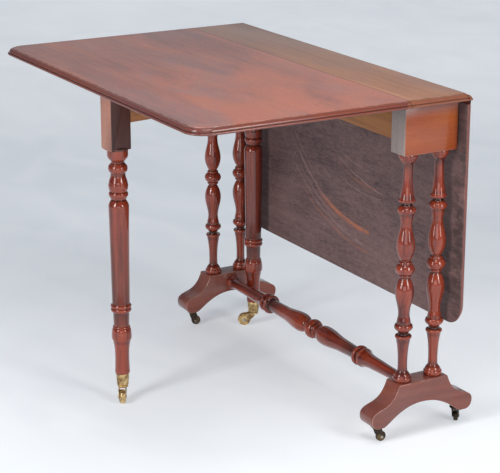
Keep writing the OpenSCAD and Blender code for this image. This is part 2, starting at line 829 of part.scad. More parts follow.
module gate_caster_socket(side) {
    floor_t = 4;
    rivet_r = GATE_STEM_R * 1.6;
    rivet_t = 1.4;
    color(BRASS) gate_caster_frame(side) difference() {
        union() {
            translate([0, 0, socket_floor_z])
                cylinder(r1 = socket_r - 1.6, r2 = socket_r, h = socket_top_z - socket_floor_z - 3);
            translate([0, 0, socket_top_z - 3]) cylinder(r = socket_r + 0.7, h = 3);
            translate([0, 0, gate_horn_z - swing_gap - rivet_t])
                cylinder(r = GATE_STEM_R, h = floor_t + gate_horn_t + rivet_t + 2 * swing_gap);
            translate([0, 0, gate_horn_z - swing_gap - rivet_t]) cylinder(r = rivet_r, h = rivet_t);
        }
        translate([0, 0, socket_floor_z + floor_t])
            cylinder(r = socket_bore_r + glue_fit / 2, h = socket_top_z);
    }
}

module gate_caster_horn(side) {
    color(BRASS) gate_caster_frame(side) gate_caster_turn(side)
        horn_shape(GATE_HORN_R, gate_horn_z, gate_horn_t, gate_wheel_d / 2, gate_trail,
            gate_wheel_w, 5, GATE_STEM_R, GATE_AXLE_R);
}

module gate_caster_axle(side) {
    color(STEEL) gate_caster_frame(side) gate_caster_turn(side)
        axle_shape(gate_wheel_d / 2, gate_trail, gate_wheel_w, GATE_AXLE_R);
}

module gate_caster_wheel(side) {
    color(BRASS) gate_caster_frame(side) gate_caster_turn(side)
        wheel_shape(gate_wheel_d, gate_wheel_w, gate_trail, GATE_AXLE_R);
}

module foot_caster_frame(x, y) {
    table_frame() translate([x * end_x, y * caster_y, 0]) children();
}

module foot_caster_turn(x, y) {
    rotate([0, 0, FOOT_CASTER_ANGLES[x == FAR ? 0 : 1][y == FRONT ? 0 : 1]]) children();
}

// Two screws through each foot caster's plate, along the foot's thickness
module caster_screw_shapes() {
    head_r = 2.3;
    for (x = SIDES, y = SIDES, k = SIDES)
        translate([x * end_x + k * foot_plate_r * 0.66, y * caster_y, toe_z - foot_plate_t]) {
            cylinder(r1 = head_r, r2 = 1.2, h = 1.1);
            cylinder(r = 1.2, h = 12);
        }
}

module foot_caster_plate(x, y) {
    rivet_t = 1.2;
    rivet_z = foot_horn_z - swing_gap - rivet_t;
    color(DARK_BRASS) difference() {
        foot_caster_frame(x, y) {
            translate([0, 0, toe_z - foot_plate_t]) cylinder(r = foot_plate_r, h = foot_plate_t);
            translate([0, 0, rivet_z]) cylinder(r = FOOT_STEM_R, h = toe_z - 1 - rivet_z);
            translate([0, 0, rivet_z]) cylinder(r = FOOT_STEM_R * 1.6, h = rivet_t);
        }
        table_frame() caster_screw_shapes();
    }
}

module foot_caster_horn(x, y) {
    color(DARK_BRASS) foot_caster_frame(x, y) foot_caster_turn(x, y)
        horn_shape(FOOT_HORN_R, foot_horn_z, foot_horn_t, foot_wheel_d / 2, foot_trail,
            foot_wheel_w, 3.8, FOOT_STEM_R, FOOT_AXLE_R);
}

module foot_caster_axle(x, y) {
    color(STEEL) foot_caster_frame(x, y) foot_caster_turn(x, y)
        axle_shape(foot_wheel_d / 2, foot_trail, foot_wheel_w, FOOT_AXLE_R);
}

module foot_caster_wheel(x, y) {
    color(DARK_BRASS) foot_caster_frame(x, y) foot_caster_turn(x, y)
        wheel_shape(foot_wheel_d, foot_wheel_w, foot_trail, FOOT_AXLE_R);
}

module caster_plate_screws() {
    color(STEEL) table_frame() caster_screw_shapes();
}

// ---- screws of the frame --------------------------------------------------------------------
// Screws up into the centre board: one through each end block and two through the centre rail,
// each at the top of a deep counterbore
module top_screw_shapes(bore_fit) {
    shank_l = 26;
    head_z = table_height - 5 - shank_l;
    for (x = [-end_x, -rail_screw_x, rail_screw_x, end_x]) translate([x, 0, 0]) {
        translate([0, 0, head_z]) cylinder(r = 2.2, h = shank_l);
        translate([0, 0, head_z]) cylinder(r1 = 4.4, r2 = 2.2, h = 2.6);
        if (bore_fit > 0)
            translate([0, 0, block_z - eps]) cylinder(r = 4.6, h = head_z - block_z + eps);
    }
}

module top_fixing_screws() {
    color(STEEL) table_frame() top_screw_shapes(0);
}

// Screws through each knuckle rail into the centre rail
module knuckle_screw_shapes() {
    z = under_z - fly_rail_h / 2;
    for (side = SIDES) gate_turn(side)
        for (x = [pin_x + 50, rail_l / 2 - 40]) translate([-x, -rail_t * 1.5 - 1, z])
            rotate([-90, 0, 0]) {
                cylinder(r1 = 4.6, r2 = 2.3, h = 2.6);
                cylinder(r = 2.3, h = rail_t + 12);
            }
}

module knuckle_rail_screws() {
    color(STEEL) table_frame() knuckle_screw_shapes();
}

centre_board();
front_leaf();
rear_leaf();
end_block(NEAR);  // near_end_block
end_block(FAR);  // far_end_block
centre_rail();
knuckle_rail(FRONT);  // front_knuckle_rail
knuckle_rail(REAR);  // rear_knuckle_rail
fly_rail(FRONT);  // front_fly_rail
fly_rail(REAR);  // rear_fly_rail
knuckle_pin(FRONT);  // front_knuckle_pin
knuckle_pin(REAR);  // rear_knuckle_pin
gate_leg(FRONT);  // front_gate_leg
gate_leg(REAR);  // rear_gate_leg
column(NEAR, FRONT);  // near_front_column
column(NEAR, REAR);  // near_rear_column
column(FAR, FRONT);  // far_front_column
column(FAR, REAR);  // far_rear_column
foot(NEAR);  // near_foot
foot(FAR);  // far_foot
stretcher();
gate_caster_socket(FRONT);  // front_gate_caster_socket
gate_caster_horn(FRONT);  // front_gate_caster_horn
gate_caster_axle(FRONT);  // front_gate_caster_axle
gate_caster_wheel(FRONT);  // front_gate_caster_wheel
gate_caster_socket(REAR);  // rear_gate_caster_socket
gate_caster_horn(REAR);  // rear_gate_caster_horn
gate_caster_axle(REAR);  // rear_gate_caster_axle
gate_caster_wheel(REAR);  // rear_gate_caster_wheel
foot_caster_plate(NEAR, FRONT);  // near_front_caster_plate
foot_caster_horn(NEAR, FRONT);  // near_front_caster_horn
foot_caster_axle(NEAR, FRONT);  // near_front_caster_axle
foot_caster_wheel(NEAR, FRONT);  // near_front_caster_wheel
foot_caster_plate(NEAR, REAR);  // near_rear_caster_plate
foot_caster_horn(NEAR, REAR);  // near_rear_caster_horn
foot_caster_axle(NEAR, REAR);  // near_rear_caster_axle
foot_caster_wheel(NEAR, REAR);  // near_rear_caster_wheel
foot_caster_plate(FAR, FRONT);  // far_front_caster_plate
foot_caster_horn(FAR, FRONT);  // far_front_caster_horn
foot_caster_axle(FAR, FRONT);  // far_front_caster_axle
foot_caster_wheel(FAR, FRONT);  // far_front_caster_wheel
foot_caster_plate(FAR, REAR);  // far_rear_caster_plate
foot_caster_horn(FAR, REAR);  // far_rear_caster_horn
foot_caster_axle(FAR, REAR);  // far_rear_caster_axle
foot_caster_wheel(FAR, REAR);  // far_rear_caster_wheel
hinge_table_plates(FRONT);  // front_hinge_table_plates
hinge_leaf_plates(FRONT);  // front_hinge_leaf_plates
hinge_pins(FRONT);  // front_hinge_pins
hinge_table_plates(REAR);  // rear_hinge_table_plates
hinge_leaf_plates(REAR);  // rear_hinge_leaf_plates
hinge_pins(REAR);  // rear_hinge_pins
hinge_table_screws();
leaf_screws(FRONT);  // front_leaf_screws
leaf_screws(REAR);  // rear_leaf_screws
top_fixing_screws();
knuckle_rail_screws();
caster_plate_screws();
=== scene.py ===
"""Looks of a narrow drop-leaf table with two gate legs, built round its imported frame.

The table is old polished mahogany: a long centre board with a raised leaf in front and a hanging
leaf behind, twin turned columns on arched feet, a turned stretcher, two turned gate legs on
wooden knuckles, and brass casters. Lengths are in metres, except for the turned outlines and the
lens, which are in millimetres.
"""

import logging
import math
from collections.abc import Callable, Iterable, Sequence
from dataclasses import dataclass, field
from enum import Enum

import bmesh
import bpy
from mathutils import Matrix, Vector


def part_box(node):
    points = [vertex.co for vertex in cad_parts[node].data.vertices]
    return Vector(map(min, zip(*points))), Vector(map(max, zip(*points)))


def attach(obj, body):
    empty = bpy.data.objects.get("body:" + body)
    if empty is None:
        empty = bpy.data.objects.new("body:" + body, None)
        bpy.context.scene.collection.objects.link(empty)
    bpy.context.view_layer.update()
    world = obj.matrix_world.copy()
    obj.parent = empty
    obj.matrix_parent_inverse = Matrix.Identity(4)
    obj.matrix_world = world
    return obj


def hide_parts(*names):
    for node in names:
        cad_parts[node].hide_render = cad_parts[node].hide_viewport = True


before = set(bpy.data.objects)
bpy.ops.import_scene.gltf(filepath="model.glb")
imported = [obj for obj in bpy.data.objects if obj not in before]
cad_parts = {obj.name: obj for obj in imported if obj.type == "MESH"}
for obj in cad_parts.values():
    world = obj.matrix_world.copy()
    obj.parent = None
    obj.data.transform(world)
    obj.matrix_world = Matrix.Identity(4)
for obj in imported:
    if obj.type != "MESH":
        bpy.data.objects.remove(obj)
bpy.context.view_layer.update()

LOG = logging.getLogger("table")
MM = 0.001
TINY = 1e-6
WELD = 2 * TINY
ON_LEVEL = 0.001 * MM
TURNED_FACETS = 112
FACES_THIS_WAY = 0.93
Colour = tuple[float, float, float]
Point2 = tuple[float, float]
Point3 = tuple[float, float, float]
GRAIN = "grain"
BOARD = "board"
WAX_AND_SHADE = "hollow"
EDGE = "edge"
WEAR = "wear"


# ---- materials --------------------------------------------------------------------------------


class Num:
    """A number that flows through a material's nodes and takes ordinary arithmetic."""

    def __init__(self, tree: bpy.types.NodeTree, socket: bpy.types.NodeSocket) -> None:
        """Wraps one output socket of the tree."""
        self.tree = tree
        self.socket = socket

    def _join(self, kind: str, *values: "Num | float", clamp: bool = False) -> "Num":
        """Feeds values to a new Math node.

        Args:
            kind: The node's operation.
            values: Its inputs in order, numbers or sockets.
            clamp: Whether the result is held between 0 and 1.

        Returns:
            The node's result.
        """
        node = self.tree.nodes.new("ShaderNodeMath")
        node.operation = kind
        node.use_clamp = clamp
        for slot, value in zip(node.inputs, values):
            if isinstance(value, Num):
                self.tree.links.new(value.socket, slot)
            else:
                slot.default_value = float(value)
        return Num(self.tree, node.outputs[0])

    def __add__(self, other: "Num | float") -> "Num":
        """Sum."""
        return self._join("ADD", self, other)

    def __radd__(self, other: float) -> "Num":
        """Sum with a plain number on the left."""
        return self._join("ADD", other, self)

    def __sub__(self, other: "Num | float") -> "Num":
        """Difference."""
        return self._join("SUBTRACT", self, other)

    def __rsub__(self, other: float) -> "Num":
        """Difference with a plain number on the left."""
        return self._join("SUBTRACT", other, self)

    def __mul__(self, other: "Num | float") -> "Num":
        """Product."""
        return self._join("MULTIPLY", self, other)

    def __rmul__(self, other: float) -> "Num":
        """Product with a plain number on the left."""
        return self._join("MULTIPLY", other, self)

    def __pow__(self, other: float) -> "Num":
        """Power."""
        return self._join("POWER", self, other)

    def __neg__(self) -> "Num":
        """The number with its sign turned."""
        return self._join("MULTIPLY", self, -1.0)

    def at_least(self, floor: float) -> "Num":
        """The number, or the floor where that is higher."""
        return self._join("MAXIMUM", self, floor)

    def size(self) -> "Num":
        """The number without its sign."""
        return self._join("ABSOLUTE", self)

    def held(self) -> "Num":
        """The number held between 0 and 1."""
        return self._join("ADD", self, 0.0, clamp=True)

    def angle_to(self, across: "Num") -> "Num":
        """The angle of the point (across, self) from the first axis, in radians."""
        return self._join("ARCTAN2", self, across)

    def rise(self, low: float, high: float) -> "Num":
        """0 below low, 1 above high and a smooth step between them."""
        node = self.tree.nodes.new("ShaderNodeMapRange")
        node.interpolation_type = "SMOOTHSTEP"
        self.tree.links.new(self.socket, node.inputs["Value"])
        node.inputs["From Min"].default_value = low
        node.inputs["From Max"].default_value = high
        return Num(self.tree, node.outputs["Result"])

    def near(self, centre: float, reach: float) -> "Num":
        """1 at centre, falling smoothly to 0 at reach either side of it."""
        return 1.0 - (self - centre).size().rise(0.0, reach)


Value = Num | bpy.types.NodeSocket | float | Sequence[float]


class Shade:
    """One material and the nodes that make it."""

    def __init__(self, name: str) -> None:
        """Starts a material with one surface shader.

        Args:
            name: The material's name.
        """
        self.material = bpy.data.materials.new(name)
        self.material.use_nodes = True
        self.tree = self.material.node_tree
        self.tree.nodes.clear()
        self.surface = self.tree.nodes.new("ShaderNodeBsdfPrincipled")
        output = self.tree.nodes.new("ShaderNodeOutputMaterial")
        self.tree.links.new(self.surface.outputs["BSDF"], output.inputs["Surface"])

    def put(self, slot: bpy.types.NodeSocket, value: Value) -> None:
        """Sets or links one input.

        Args:
            slot: The input socket.
            value: A constant, a socket or a flowing number.
        """
        if isinstance(value, Num):
            self.tree.links.new(value.socket, slot)
        elif isinstance(value, bpy.types.NodeSocket):
            self.tree.links.new(value, slot)
        elif isinstance(value, (int, float)):
            slot.default_value = value
        elif slot.type == "RGBA":
            slot.default_value = (*value[:3], 1.0)
        else:
            slot.default_value = tuple(value)

    def node(
        self,
        kind: str,
        settings: dict[str, object] | None = None,
        inputs: dict[str | int, Value] | None = None,
        stops: Sequence[tuple[float, Colour]] = (),
    ) -> bpy.types.Node:
        """Makes any node.

        Args:
            kind: The node's type, after "ShaderNode".
            settings: Its own properties.
            inputs: Socket values or links, by name or place.
            stops: A colour ramp's places and colours.

        Returns:
            The node.
        """
        made = self.tree.nodes.new("ShaderNode" + kind)
        for name, value in (settings or {}).items():
            setattr(made, name, value)
        for name, value in (inputs or {}).items():
            self.put(made.inputs[name], value)
        if stops:
            ramp = made.color_ramp
            while len(ramp.elements) > len(stops):
                ramp.elements.remove(ramp.elements[-1])
            while len(ramp.elements) < len(stops):
                ramp.elements.new(1.0)
            for element, (place, colour) in zip(ramp.elements, stops):
                element.position = place
                element.color = (*colour, 1.0)
        return made

    def read(self, name: str) -> bpy.types.NodeSocket:
        """A vector stored on the piece's own points, by name."""
        return self.node("Attribute", {"attribute_name": name}).outputs["Vector"]

    def read_number(self, name: str) -> Num:
        """A number stored on the piece's own points, by name."""
        made = self.node("Attribute", {"attribute_name": name})
        return Num(self.tree, made.outputs["Fac"])

    def place(self) -> bpy.types.NodeSocket:
        """The point's own place in the piece."""
        return self.node("TexCoord").outputs["Object"]

    def scaled(self, vector: bpy.types.NodeSocket, by: Point3) -> bpy.types.NodeSocket:
        """The vector with each part multiplied."""
        made = self.node("VectorMath", {"operation": "MULTIPLY"}, {0: vector, 1: by})
        return made.outputs["Vector"]

    def moved(self, vector: bpy.types.NodeSocket, by: Value) -> bpy.types.NodeSocket:
        """The vector with another added to it."""
        made = self.node("VectorMath", {"operation": "ADD"}, {0: vector, 1: by})
        return made.outputs["Vector"]

    def parts(self, vector: bpy.types.NodeSocket) -> tuple[Num, Num, Num]:
        """The vector's three parts as numbers."""
        made = self.node("SeparateXYZ", None, {"Vector": vector})
        return tuple(Num(self.tree, out) for out in made.outputs)

    def whole(self, x: Value, y: Value, z: Value) -> bpy.types.NodeSocket:
        """A vector from three numbers."""
        return self.node("CombineXYZ", None, {"X": x, "Y": y, "Z": z}).outputs["Vector"]

    def noise(
        self,
        vector: bpy.types.NodeSocket,
        per_metre: Point3,
        detail: float = 2.0,
        roughness: float = 0.5,
        twist: float = 0.0,
    ) -> Num:
        """Cloudy noise between about 0 and 1.

        Args:
            vector: Where to read it.
            per_metre: How many clouds fit in a metre, in each direction.
            detail: How many finer layers it has.
            roughness: How strong the finer layers are.
            twist: How much the clouds curl.

        Returns:
            The noise.
        """
        made = self.node(
            "TexNoise",
            None,
            {
                "Vector": self.scaled(vector, per_metre),
                "Scale": 1.0,
                "Detail": detail,
                "Roughness": roughness,
                "Distortion": twist,
            },
        )
        return Num(self.tree, made.outputs["Fac"])

    def mix(self, share: Value, first: Value, second: Value) -> bpy.types.NodeSocket:
        """Blends two colours.

        Args:
            share: How much of the second colour shows.
            first: The colour underneath.
            second: The colour on top.

        Returns:
            The blended colour.
        """
        made = self.node("Mix", {"data_type": "RGBA", "blend_type": "MIX"})
        self.put(made.inputs[0], share)
        self.put(made.inputs[6], first)
        self.put(made.inputs[7], second)
        return made.outputs[2]

    def ramp(self, value: Num, stops: Sequence[tuple[float, Colour]]) -> bpy.types.NodeSocket:
        """A colour picked by a number along the stops."""
        return self.node("ValToRGB", None, {"Fac": value}, stops).outputs["Color"]

    def bump(self, height: Num, depth: float, strength: float = 1.0) -> bpy.types.NodeSocket:
        """A surface direction roughened by a height.

        Args:
            height: The height, between 0 and 1.
            depth: How deep 1 is, in metres.
            strength: How much of it shows.

        Returns:
            The normal.
        """
        made = self.node("Bump", None, {"Height": height, "Distance": depth, "Strength": strength})
        return made.outputs["Normal"]

    def dress(self, **inputs: Value) -> None:
        """Sets inputs of the surface shader; an underscore in a name stands for a space."""
        for name, value in inputs.items():
            self.put(self.surface.inputs[name.replace("_", " ")], value)


@dataclass(frozen=True)
class Plan:
    """A board seen from above: half its length, its far edge, its corners' round and its joint."""

    half_length: float
    reach: float
    corner_r: float
    joint: float

    def inset(self, x: Num, y: Num) -> Num:
        """How far a point lies inside the board's moulded edge.

        Args:
            x: The point's place along the board.
            y: Its place across the board.

        Returns:
            The distance, true within a corner's round of the edge.
        """
        along = (x.size() - (self.half_length - self.corner_r)).at_least(0.0)
        over = (y - (self.reach - self.corner_r)).at_least(0.0)
        return self.corner_r - (along * along + over * over) ** 0.5


@dataclass(frozen=True)
class PolishedWood:
    """Old mahogany under shellac: drifting tone, fine stripe, dark pores, wax and painted shade in the
    hollows, and where asked painted sheen and painted light.
    """

    name: str
    deep: Colour
    body: Colour
    warm: Colour
    gloss: float = 0.14
    coat: float = 1.0
    coat_gloss: float = 0.06
    stripe: float = 0.35
    haze: float = 0.0
    haze_colour: Colour = (0.26, 0.18, 0.19)
    hollow_dark: float = 0.75
    chips: float = 0.0
    chip_colour: Colour = (0.62, 0.47, 0.40)
    pore_depth: float = 0.06 * MM
    plan: Plan | None = None
    edge_w: float = 18 * MM
    top_sheen: tuple[float, float] | None = None
    painted_light_patch: float = 0.0
    wear: float = 0.4
    moulding: Colour = (0.10, 0.024, 0.020)
    upright: bool = False

    def make(self) -> bpy.types.Material:
        """Builds the material.

        Returns:
            The finished material.
        """
        shade = Shade(self.name)
        grain = shade.read(GRAIN)
        if self.upright:
            x, y, z = shade.parts(shade.place())
            grain = shade.whole(z, x, y)
        sway = shade.noise(grain, (1.7, 6.0, 6.0), 2.0) - 0.5
        bent = shade.moved(grain, shade.whole(0.0, sway * 0.03, sway * 0.03))
        drift = shade.noise(bent, (2.0, 8.0, 8.0), 4.0, 0.55, 0.6)
        bands = shade.noise(bent, (4.0, 95.0, 95.0), 3.0, 0.55)
        fibres = shade.noise(bent, (28.0, 850.0, 850.0), 2.0, 0.6)
        pores = shade.noise(bent, (170.0, 2600.0, 2600.0), 1.0).rise(0.60, 0.72)
        tone = drift * (0.75 - self.stripe * 0.5) + bands * self.stripe + fibres * 0.18 + 0.03
        colour = shade.ramp(
            tone, [(0.30, self.deep), (0.50, self.body), (0.72, self.warm)]
        )
        smear = shade.noise(grain, (3.0, 5.0, 7.0), 5.0, 0.6, 1.2)
        # Painted light: random warm patches, brighter towards the near end and towards the joint.
        if self.painted_light_patch:
            x, y, _ = shade.parts(shade.read(BOARD))
            bright = shade.noise(bent, (3.1, 6.5, 6.5), 4.0, 0.6, 0.8) + x * 0.35 - y * 0.15
            colour = shade.mix(bright.rise(0.38, 0.66) * self.painted_light_patch, colour, self.warm)
        # Painted sheen: a pale cloudy film in the colour, standing in for the reflection of the pale room.
        if self.haze:
            cloud = smear.rise(0.42, 0.70) * self.haze
            colour = shade.mix(cloud, colour, self.haze_colour)
        # Painted sheen, paler towards the top of the piece.
        if self.top_sheen:
            _, _, z = shade.parts(shade.place())
            top_sheen_share = (z + (smear - 0.5) * 0.02).rise(*self.top_sheen)
            colour = shade.mix(top_sheen_share * 0.62, colour, self.haze_colour)
        dark = (self.deep[0] * 0.25, self.deep[1] * 0.22, self.deep[2] * 0.22)
        colour = shade.mix(pores * 0.55, colour, dark)
        # Wax and painted shade darken the hollows; the bulges turn warmer where worn.
        hollow = shade.read_number(WAX_AND_SHADE)
        colour = shade.mix(hollow.held() * self.hollow_dark, colour, dark)
        colour = shade.mix((-hollow).held() * 0.35, colour, self.warm)
        rough = self.gloss + smear * 0.10 + pores * 0.15 + hollow.held() * 0.12
        broken = shade.noise(grain, (48.0, 60.0, 60.0), 4.0, 0.7).rise(0.42, 0.62)
        wear = shade.read_number(WEAR).rise(0.35, 0.8) * (0.35 + broken * 0.65)
        if self.plan:
            x, y, _ = shade.parts(shade.read(BOARD))
            inset = self.plan.inset(x, y)
            line = inset.near(self.edge_w + 0.2 * MM, 1.1 * MM)
            wear = wear + line * broken * 0.8
            shadow = inset.near(self.edge_w + 3.0 * MM, 4.0 * MM) * (1.0 - line)
            moulded = 1.0 - inset.rise(self.edge_w - 2.0 * MM, self.edge_w)
            seam = y.size().near(self.plan.joint, 1.5 * MM)
            colour = shade.mix(shadow * 0.25 + moulded * 0.78, colour, self.moulding)
            colour = shade.mix((seam * 1.4).held() * 0.9, colour, dark)
        colour = shade.mix((wear * self.wear).held(), colour, self.chip_colour)
        if self.chips:
            edge = shade.read_number(EDGE)
            flecks = shade.noise(grain, (260.0, 330.0, 330.0), 2.0, 0.6).rise(0.70, 0.74)
            sparse = shade.noise(grain, (21.0, 26.0, 26.0), 1.0).rise(0.52, 0.62)
            chip = flecks * sparse * edge.rise(0.55, 0.85) * self.chips
            colour = shade.mix(chip, colour, self.chip_colour)
            rough = rough + chip * 0.4
        height = (1.0 - pores) * 0.7 + fibres * 0.3
        shade.dress(
            Base_Color=colour,
            Roughness=rough.held(),
            Coat_Weight=self.coat,
            Coat_Roughness=self.coat_gloss,
            Coat_IOR=1.5,
            Specular_IOR_Level=0.15,
            Normal=shade.bump(height, self.pore_depth, 0.35),
        )
        return shade.material


@dataclass(frozen=True)
class Rub:
    """An arc worn or scratched on a board: its centre, radius and width, and where it starts and ends."""

    centre: Point2
    radius: float
    width: float
    start: float
    end: float
    strength: float
    bare: bool = False


@dataclass(frozen=True)
class OldUnderside:
    """The unpolished face of a leaf: dull grey-brown, scratched, with the arcs its gate has worn."""

    name: str
    rubs: tuple[Rub, ...]
    hand: float = 1.0
    dark: Colour = (0.050, 0.030, 0.032)
    body: Colour = (0.150, 0.086, 0.084)
    pale: Colour = (0.225, 0.135, 0.128)
    worn: Colour = (0.48, 0.140, 0.055)
    scratch: Colour = (0.42, 0.255, 0.225)

    def make(self) -> bpy.types.Material:
        """Builds the material.

        Returns:
            The finished material.
        """
        shade = Shade(self.name)
        grain = shade.read(GRAIN)
        board = shade.read(BOARD)
        sway = shade.noise(grain, (2.2, 5.0, 5.0), 2.0) - 0.5
        bent = shade.moved(grain, shade.whole(0.0, sway * 0.05, 0.0))
        drift = shade.noise(bent, (3.0, 7.0, 7.0), 4.0, 0.6, 0.5)
        bands = shade.noise(bent, (5.0, 80.0, 80.0), 3.0, 0.6)
        flecks = shade.noise(bent, (150.0, 420.0, 420.0), 4.0, 0.75)
        weave = shade.noise(bent, (45.0, 150.0, 150.0), 3.0, 0.7, 0.8)
        tone = drift * 0.30 + bands * 0.14 + flecks * 0.30 + weave * 0.26
        colour = shade.ramp(tone, [(0.39, self.dark), (0.50, self.body), (0.61, self.pale)])
        x, y, _ = shade.parts(board)
        wobble = (shade.noise(board, (11.0, 11.0, 11.0), 3.0) - 0.5) * 0.012
        broken = shade.noise(board, (34.0, 34.0, 34.0), 4.0, 0.65).rise(0.36, 0.62)
        pale_marks: Num | float = 0.0
        bare_marks: Num | float = 0.0
        for rub in self.rubs:
            across, up = x * self.hand - rub.centre[0], y - rub.centre[1]
            radius = (across * across + up * up) ** 0.5 + wobble
            turn = up.angle_to(across)
            fade = min(0.25, (rub.end - rub.start) * 0.4)
            swept = turn.rise(rub.start, rub.start + fade) * (1.0 - turn.rise(rub.end - 0.02, rub.end))
            line = radius.near(rub.radius, rub.width) * swept
            streak = shade.noise(shade.whole(turn, radius, 0.0), (3.0, 650.0, 1.0), 2.0, 0.6)
            hairs = radius.near(rub.radius, rub.width * 3.5) * streak.rise(0.55, 0.68) * swept
            mark = (line * (0.35 + broken * 0.65) + hairs) * rub.strength
            if rub.bare:
                bare_marks = bare_marks + mark
            else:
                pale_marks = pale_marks + mark
        colour = shade.mix(pale_marks.held(), colour, self.scratch)
        colour = shade.mix((bare_marks * 0.9).held(), colour, self.worn)
        dust = shade.noise(board, (120.0, 120.0, 120.0), 1.0).rise(0.80, 0.84)
        colour = shade.mix(dust * 0.7, colour, (0.55, 0.50, 0.48))
        # Dark blots near both ends, and painted shade near the joint.
        blots = shade.noise(board, (14.0, 30.0, 9.0), 4.0, 0.65).rise(0.42, 0.62)
        rim = (x.size().rise(0.385, 0.440) * blots).held()
        near_joint = 1.0 - y.rise(0.08, 0.21)
        colour = shade.mix(rim * 0.8 + near_joint * (1.0 - rim) * 0.45, colour, (0.040, 0.029, 0.028))
        shade.dress(
            Base_Color=colour,
            Roughness=(0.50 + flecks * 0.18).held(),
            Coat_Weight=0.10,
            Coat_Roughness=0.35,
            Specular_IOR_Level=0.3,
            Normal=shade.bump(flecks * 0.6 + bands * 0.4, 0.20 * MM, 0.6),
        )
        return shade.material


GATE_PIN: Point2 = (-0.109, 0.023)
GATE_RUBS = (
    Rub(GATE_PIN, 0.4085, 0.0060, 1.02, 1.60, 1.0, True),
    Rub(GATE_PIN, 0.4040, 0.0022, 1.02, 1.60, 0.5, True),
    Rub(GATE_PIN, 0.4060, 0.0022, 0.62, 1.45, 0.8),
    Rub(GATE_PIN, 0.4230, 0.0014, 0.70, 1.30, 0.5),
    Rub(GATE_PIN, 0.4380, 0.0022, 0.66, 1.55, 0.55),
    Rub(GATE_PIN, 0.4520, 0.0024, 0.85, 1.60, 0.6, True),
    Rub(GATE_PIN, 0.3900, 0.0012, 0.55, 0.95, 0.45),
    Rub((-0.229, -0.247), 0.584, 0.0022, 1.10, 1.48, 0.6),
    Rub((-0.229, -0.235), 0.584, 0.0014, 1.05, 1.40, 0.4, True),
    Rub(GATE_PIN, 0.3250, 0.0016, 1.15, 1.75, 0.45),
    Rub(GATE_PIN, 0.3050, 0.0030, 1.25, 1.70, 0.35, True),
    Rub(GATE_PIN, 0.2700, 0.0014, 0.95, 1.60, 0.4),
)


@dataclass(frozen=True)
class RailWood:
    """Plain yellow-brown secondary wood, oiled by hands, with darker smears of grime."""

    name: str
    deep: Colour = (0.130, 0.038, 0.004)
    body: Colour = (0.265, 0.085, 0.007)
    warm: Colour = (0.370, 0.130, 0.014)

    def make(self) -> bpy.types.Material:
        """Builds the material.

        Returns:
            The finished material.
        """
        shade = Shade(self.name)
        grain = shade.read(GRAIN)
        sway = shade.noise(grain, (2.5, 9.0, 9.0), 2.0) - 0.5
        bent = shade.moved(grain, shade.whole(0.0, sway * 0.04, sway * 0.04))
        bands = shade.noise(bent, (3.0, 110.0, 110.0), 4.0, 0.6)
        drift = shade.noise(bent, (4.0, 14.0, 14.0), 3.0)
        fibres = shade.noise(bent, (40.0, 1100.0, 1100.0), 2.0, 0.6)
        colour = shade.ramp(
            bands * 0.5 + drift * 0.3 + fibres * 0.22,
            [(0.34, self.deep), (0.50, self.body), (0.66, self.warm)],
        )
        grime = shade.noise(grain, (9.0, 14.0, 14.0), 5.0, 0.65).rise(0.55, 0.75)
        colour = shade.mix(grime * 0.35, colour, self.deep)
        shade.dress(
            Base_Color=colour,
            Roughness=(0.42 + fibres * 0.15 + grime * 0.1).held(),
            Coat_Weight=0.25,
            Coat_Roughness=0.25,
            Normal=shade.bump(fibres * 0.5 + bands * 0.5, 0.10 * MM, 0.5),
        )
        return shade.material


@dataclass(frozen=True)
class OldMetal:
    """Cast or turned metal with worn bright places and tarnish settled in between."""

    name: str
    bright: Colour
    tarnish: Colour
    cover: float = 0.5
    gloss: float = 0.24
    tarnish_metal: float = 0.7

    def make(self) -> bpy.types.Material:
        """Builds the material.

        Returns:
            The finished material.
        """
        shade = Shade(self.name)
        place = shade.place()
        spread = shade.noise(place, (55.0, 55.0, 55.0), 5.0, 0.65, 0.4)
        fine = shade.noise(place, (900.0, 900.0, 900.0), 3.0, 0.7)
        low = 0.62 - self.cover * 0.3
        dull = (spread * 0.8 + fine * 0.2).rise(low - 0.10, low + 0.12)
        colour = shade.mix(dull, self.bright, self.tarnish)
        shade.dress(
            Base_Color=colour,
            Metallic=(1.0 - dull * (1.0 - self.tarnish_metal)).held(),
            Roughness=(self.gloss + dull * 0.28 + fine * 0.08).held(),
            Normal=shade.bump(fine * 0.5 + spread * 0.5, 0.05 * MM, 0.4),
        )
        return shade.material


@dataclass(frozen=True)
class FloorCover:
    """A seamless pale floor that glows a little as painted light, with painted shade in faint folds and in
    one darker band far back.
    """

    name: str = "studio_floor"
    pale: Colour = (0.70, 0.73, 0.76)
    shaded: Colour = (0.58, 0.61, 0.65)
    glow: Colour = (0.41, 0.425, 0.445)
    dull_glow: Colour = (0.245, 0.26, 0.28)
    dip_at: float = 1.1
    dip_reach: float = 2.6
    dip_way: Point2 = (-0.867, 0.498)
    dip_from_y: float = 0.2

    def make(self) -> bpy.types.Material:
        """Builds the material.

        Returns:
            The finished material.
        """
        shade = Shade(self.name)
        cloud = shade.noise(shade.place(), (0.5, 0.5, 0.5), 3.0)
        fold = shade.noise(shade.place(), (2.2, 3.4, 1.0), 2.0, 0.4, 1.5)
        x, y, _ = shade.parts(shade.place())
        far = x * self.dip_way[0] + (y - self.dip_from_y) * self.dip_way[1]
        shade_band = far.near(self.dip_at, self.dip_reach)
        # Painted shade in the folds and the far band; the glow is painted light.
        share = (cloud * 0.5 + fold * 0.3).rise(0.25, 0.6) * 0.35 + shade_band * 0.6
        shade.dress(
            Base_Color=shade.mix(share.held(), self.pale, self.shaded),
            Emission_Color=shade.mix(share.held(), self.glow, self.dull_glow),
            Emission_Strength=1.0,
            Roughness=0.75,
            Specular_IOR_Level=0.2,
        )
        return shade.material


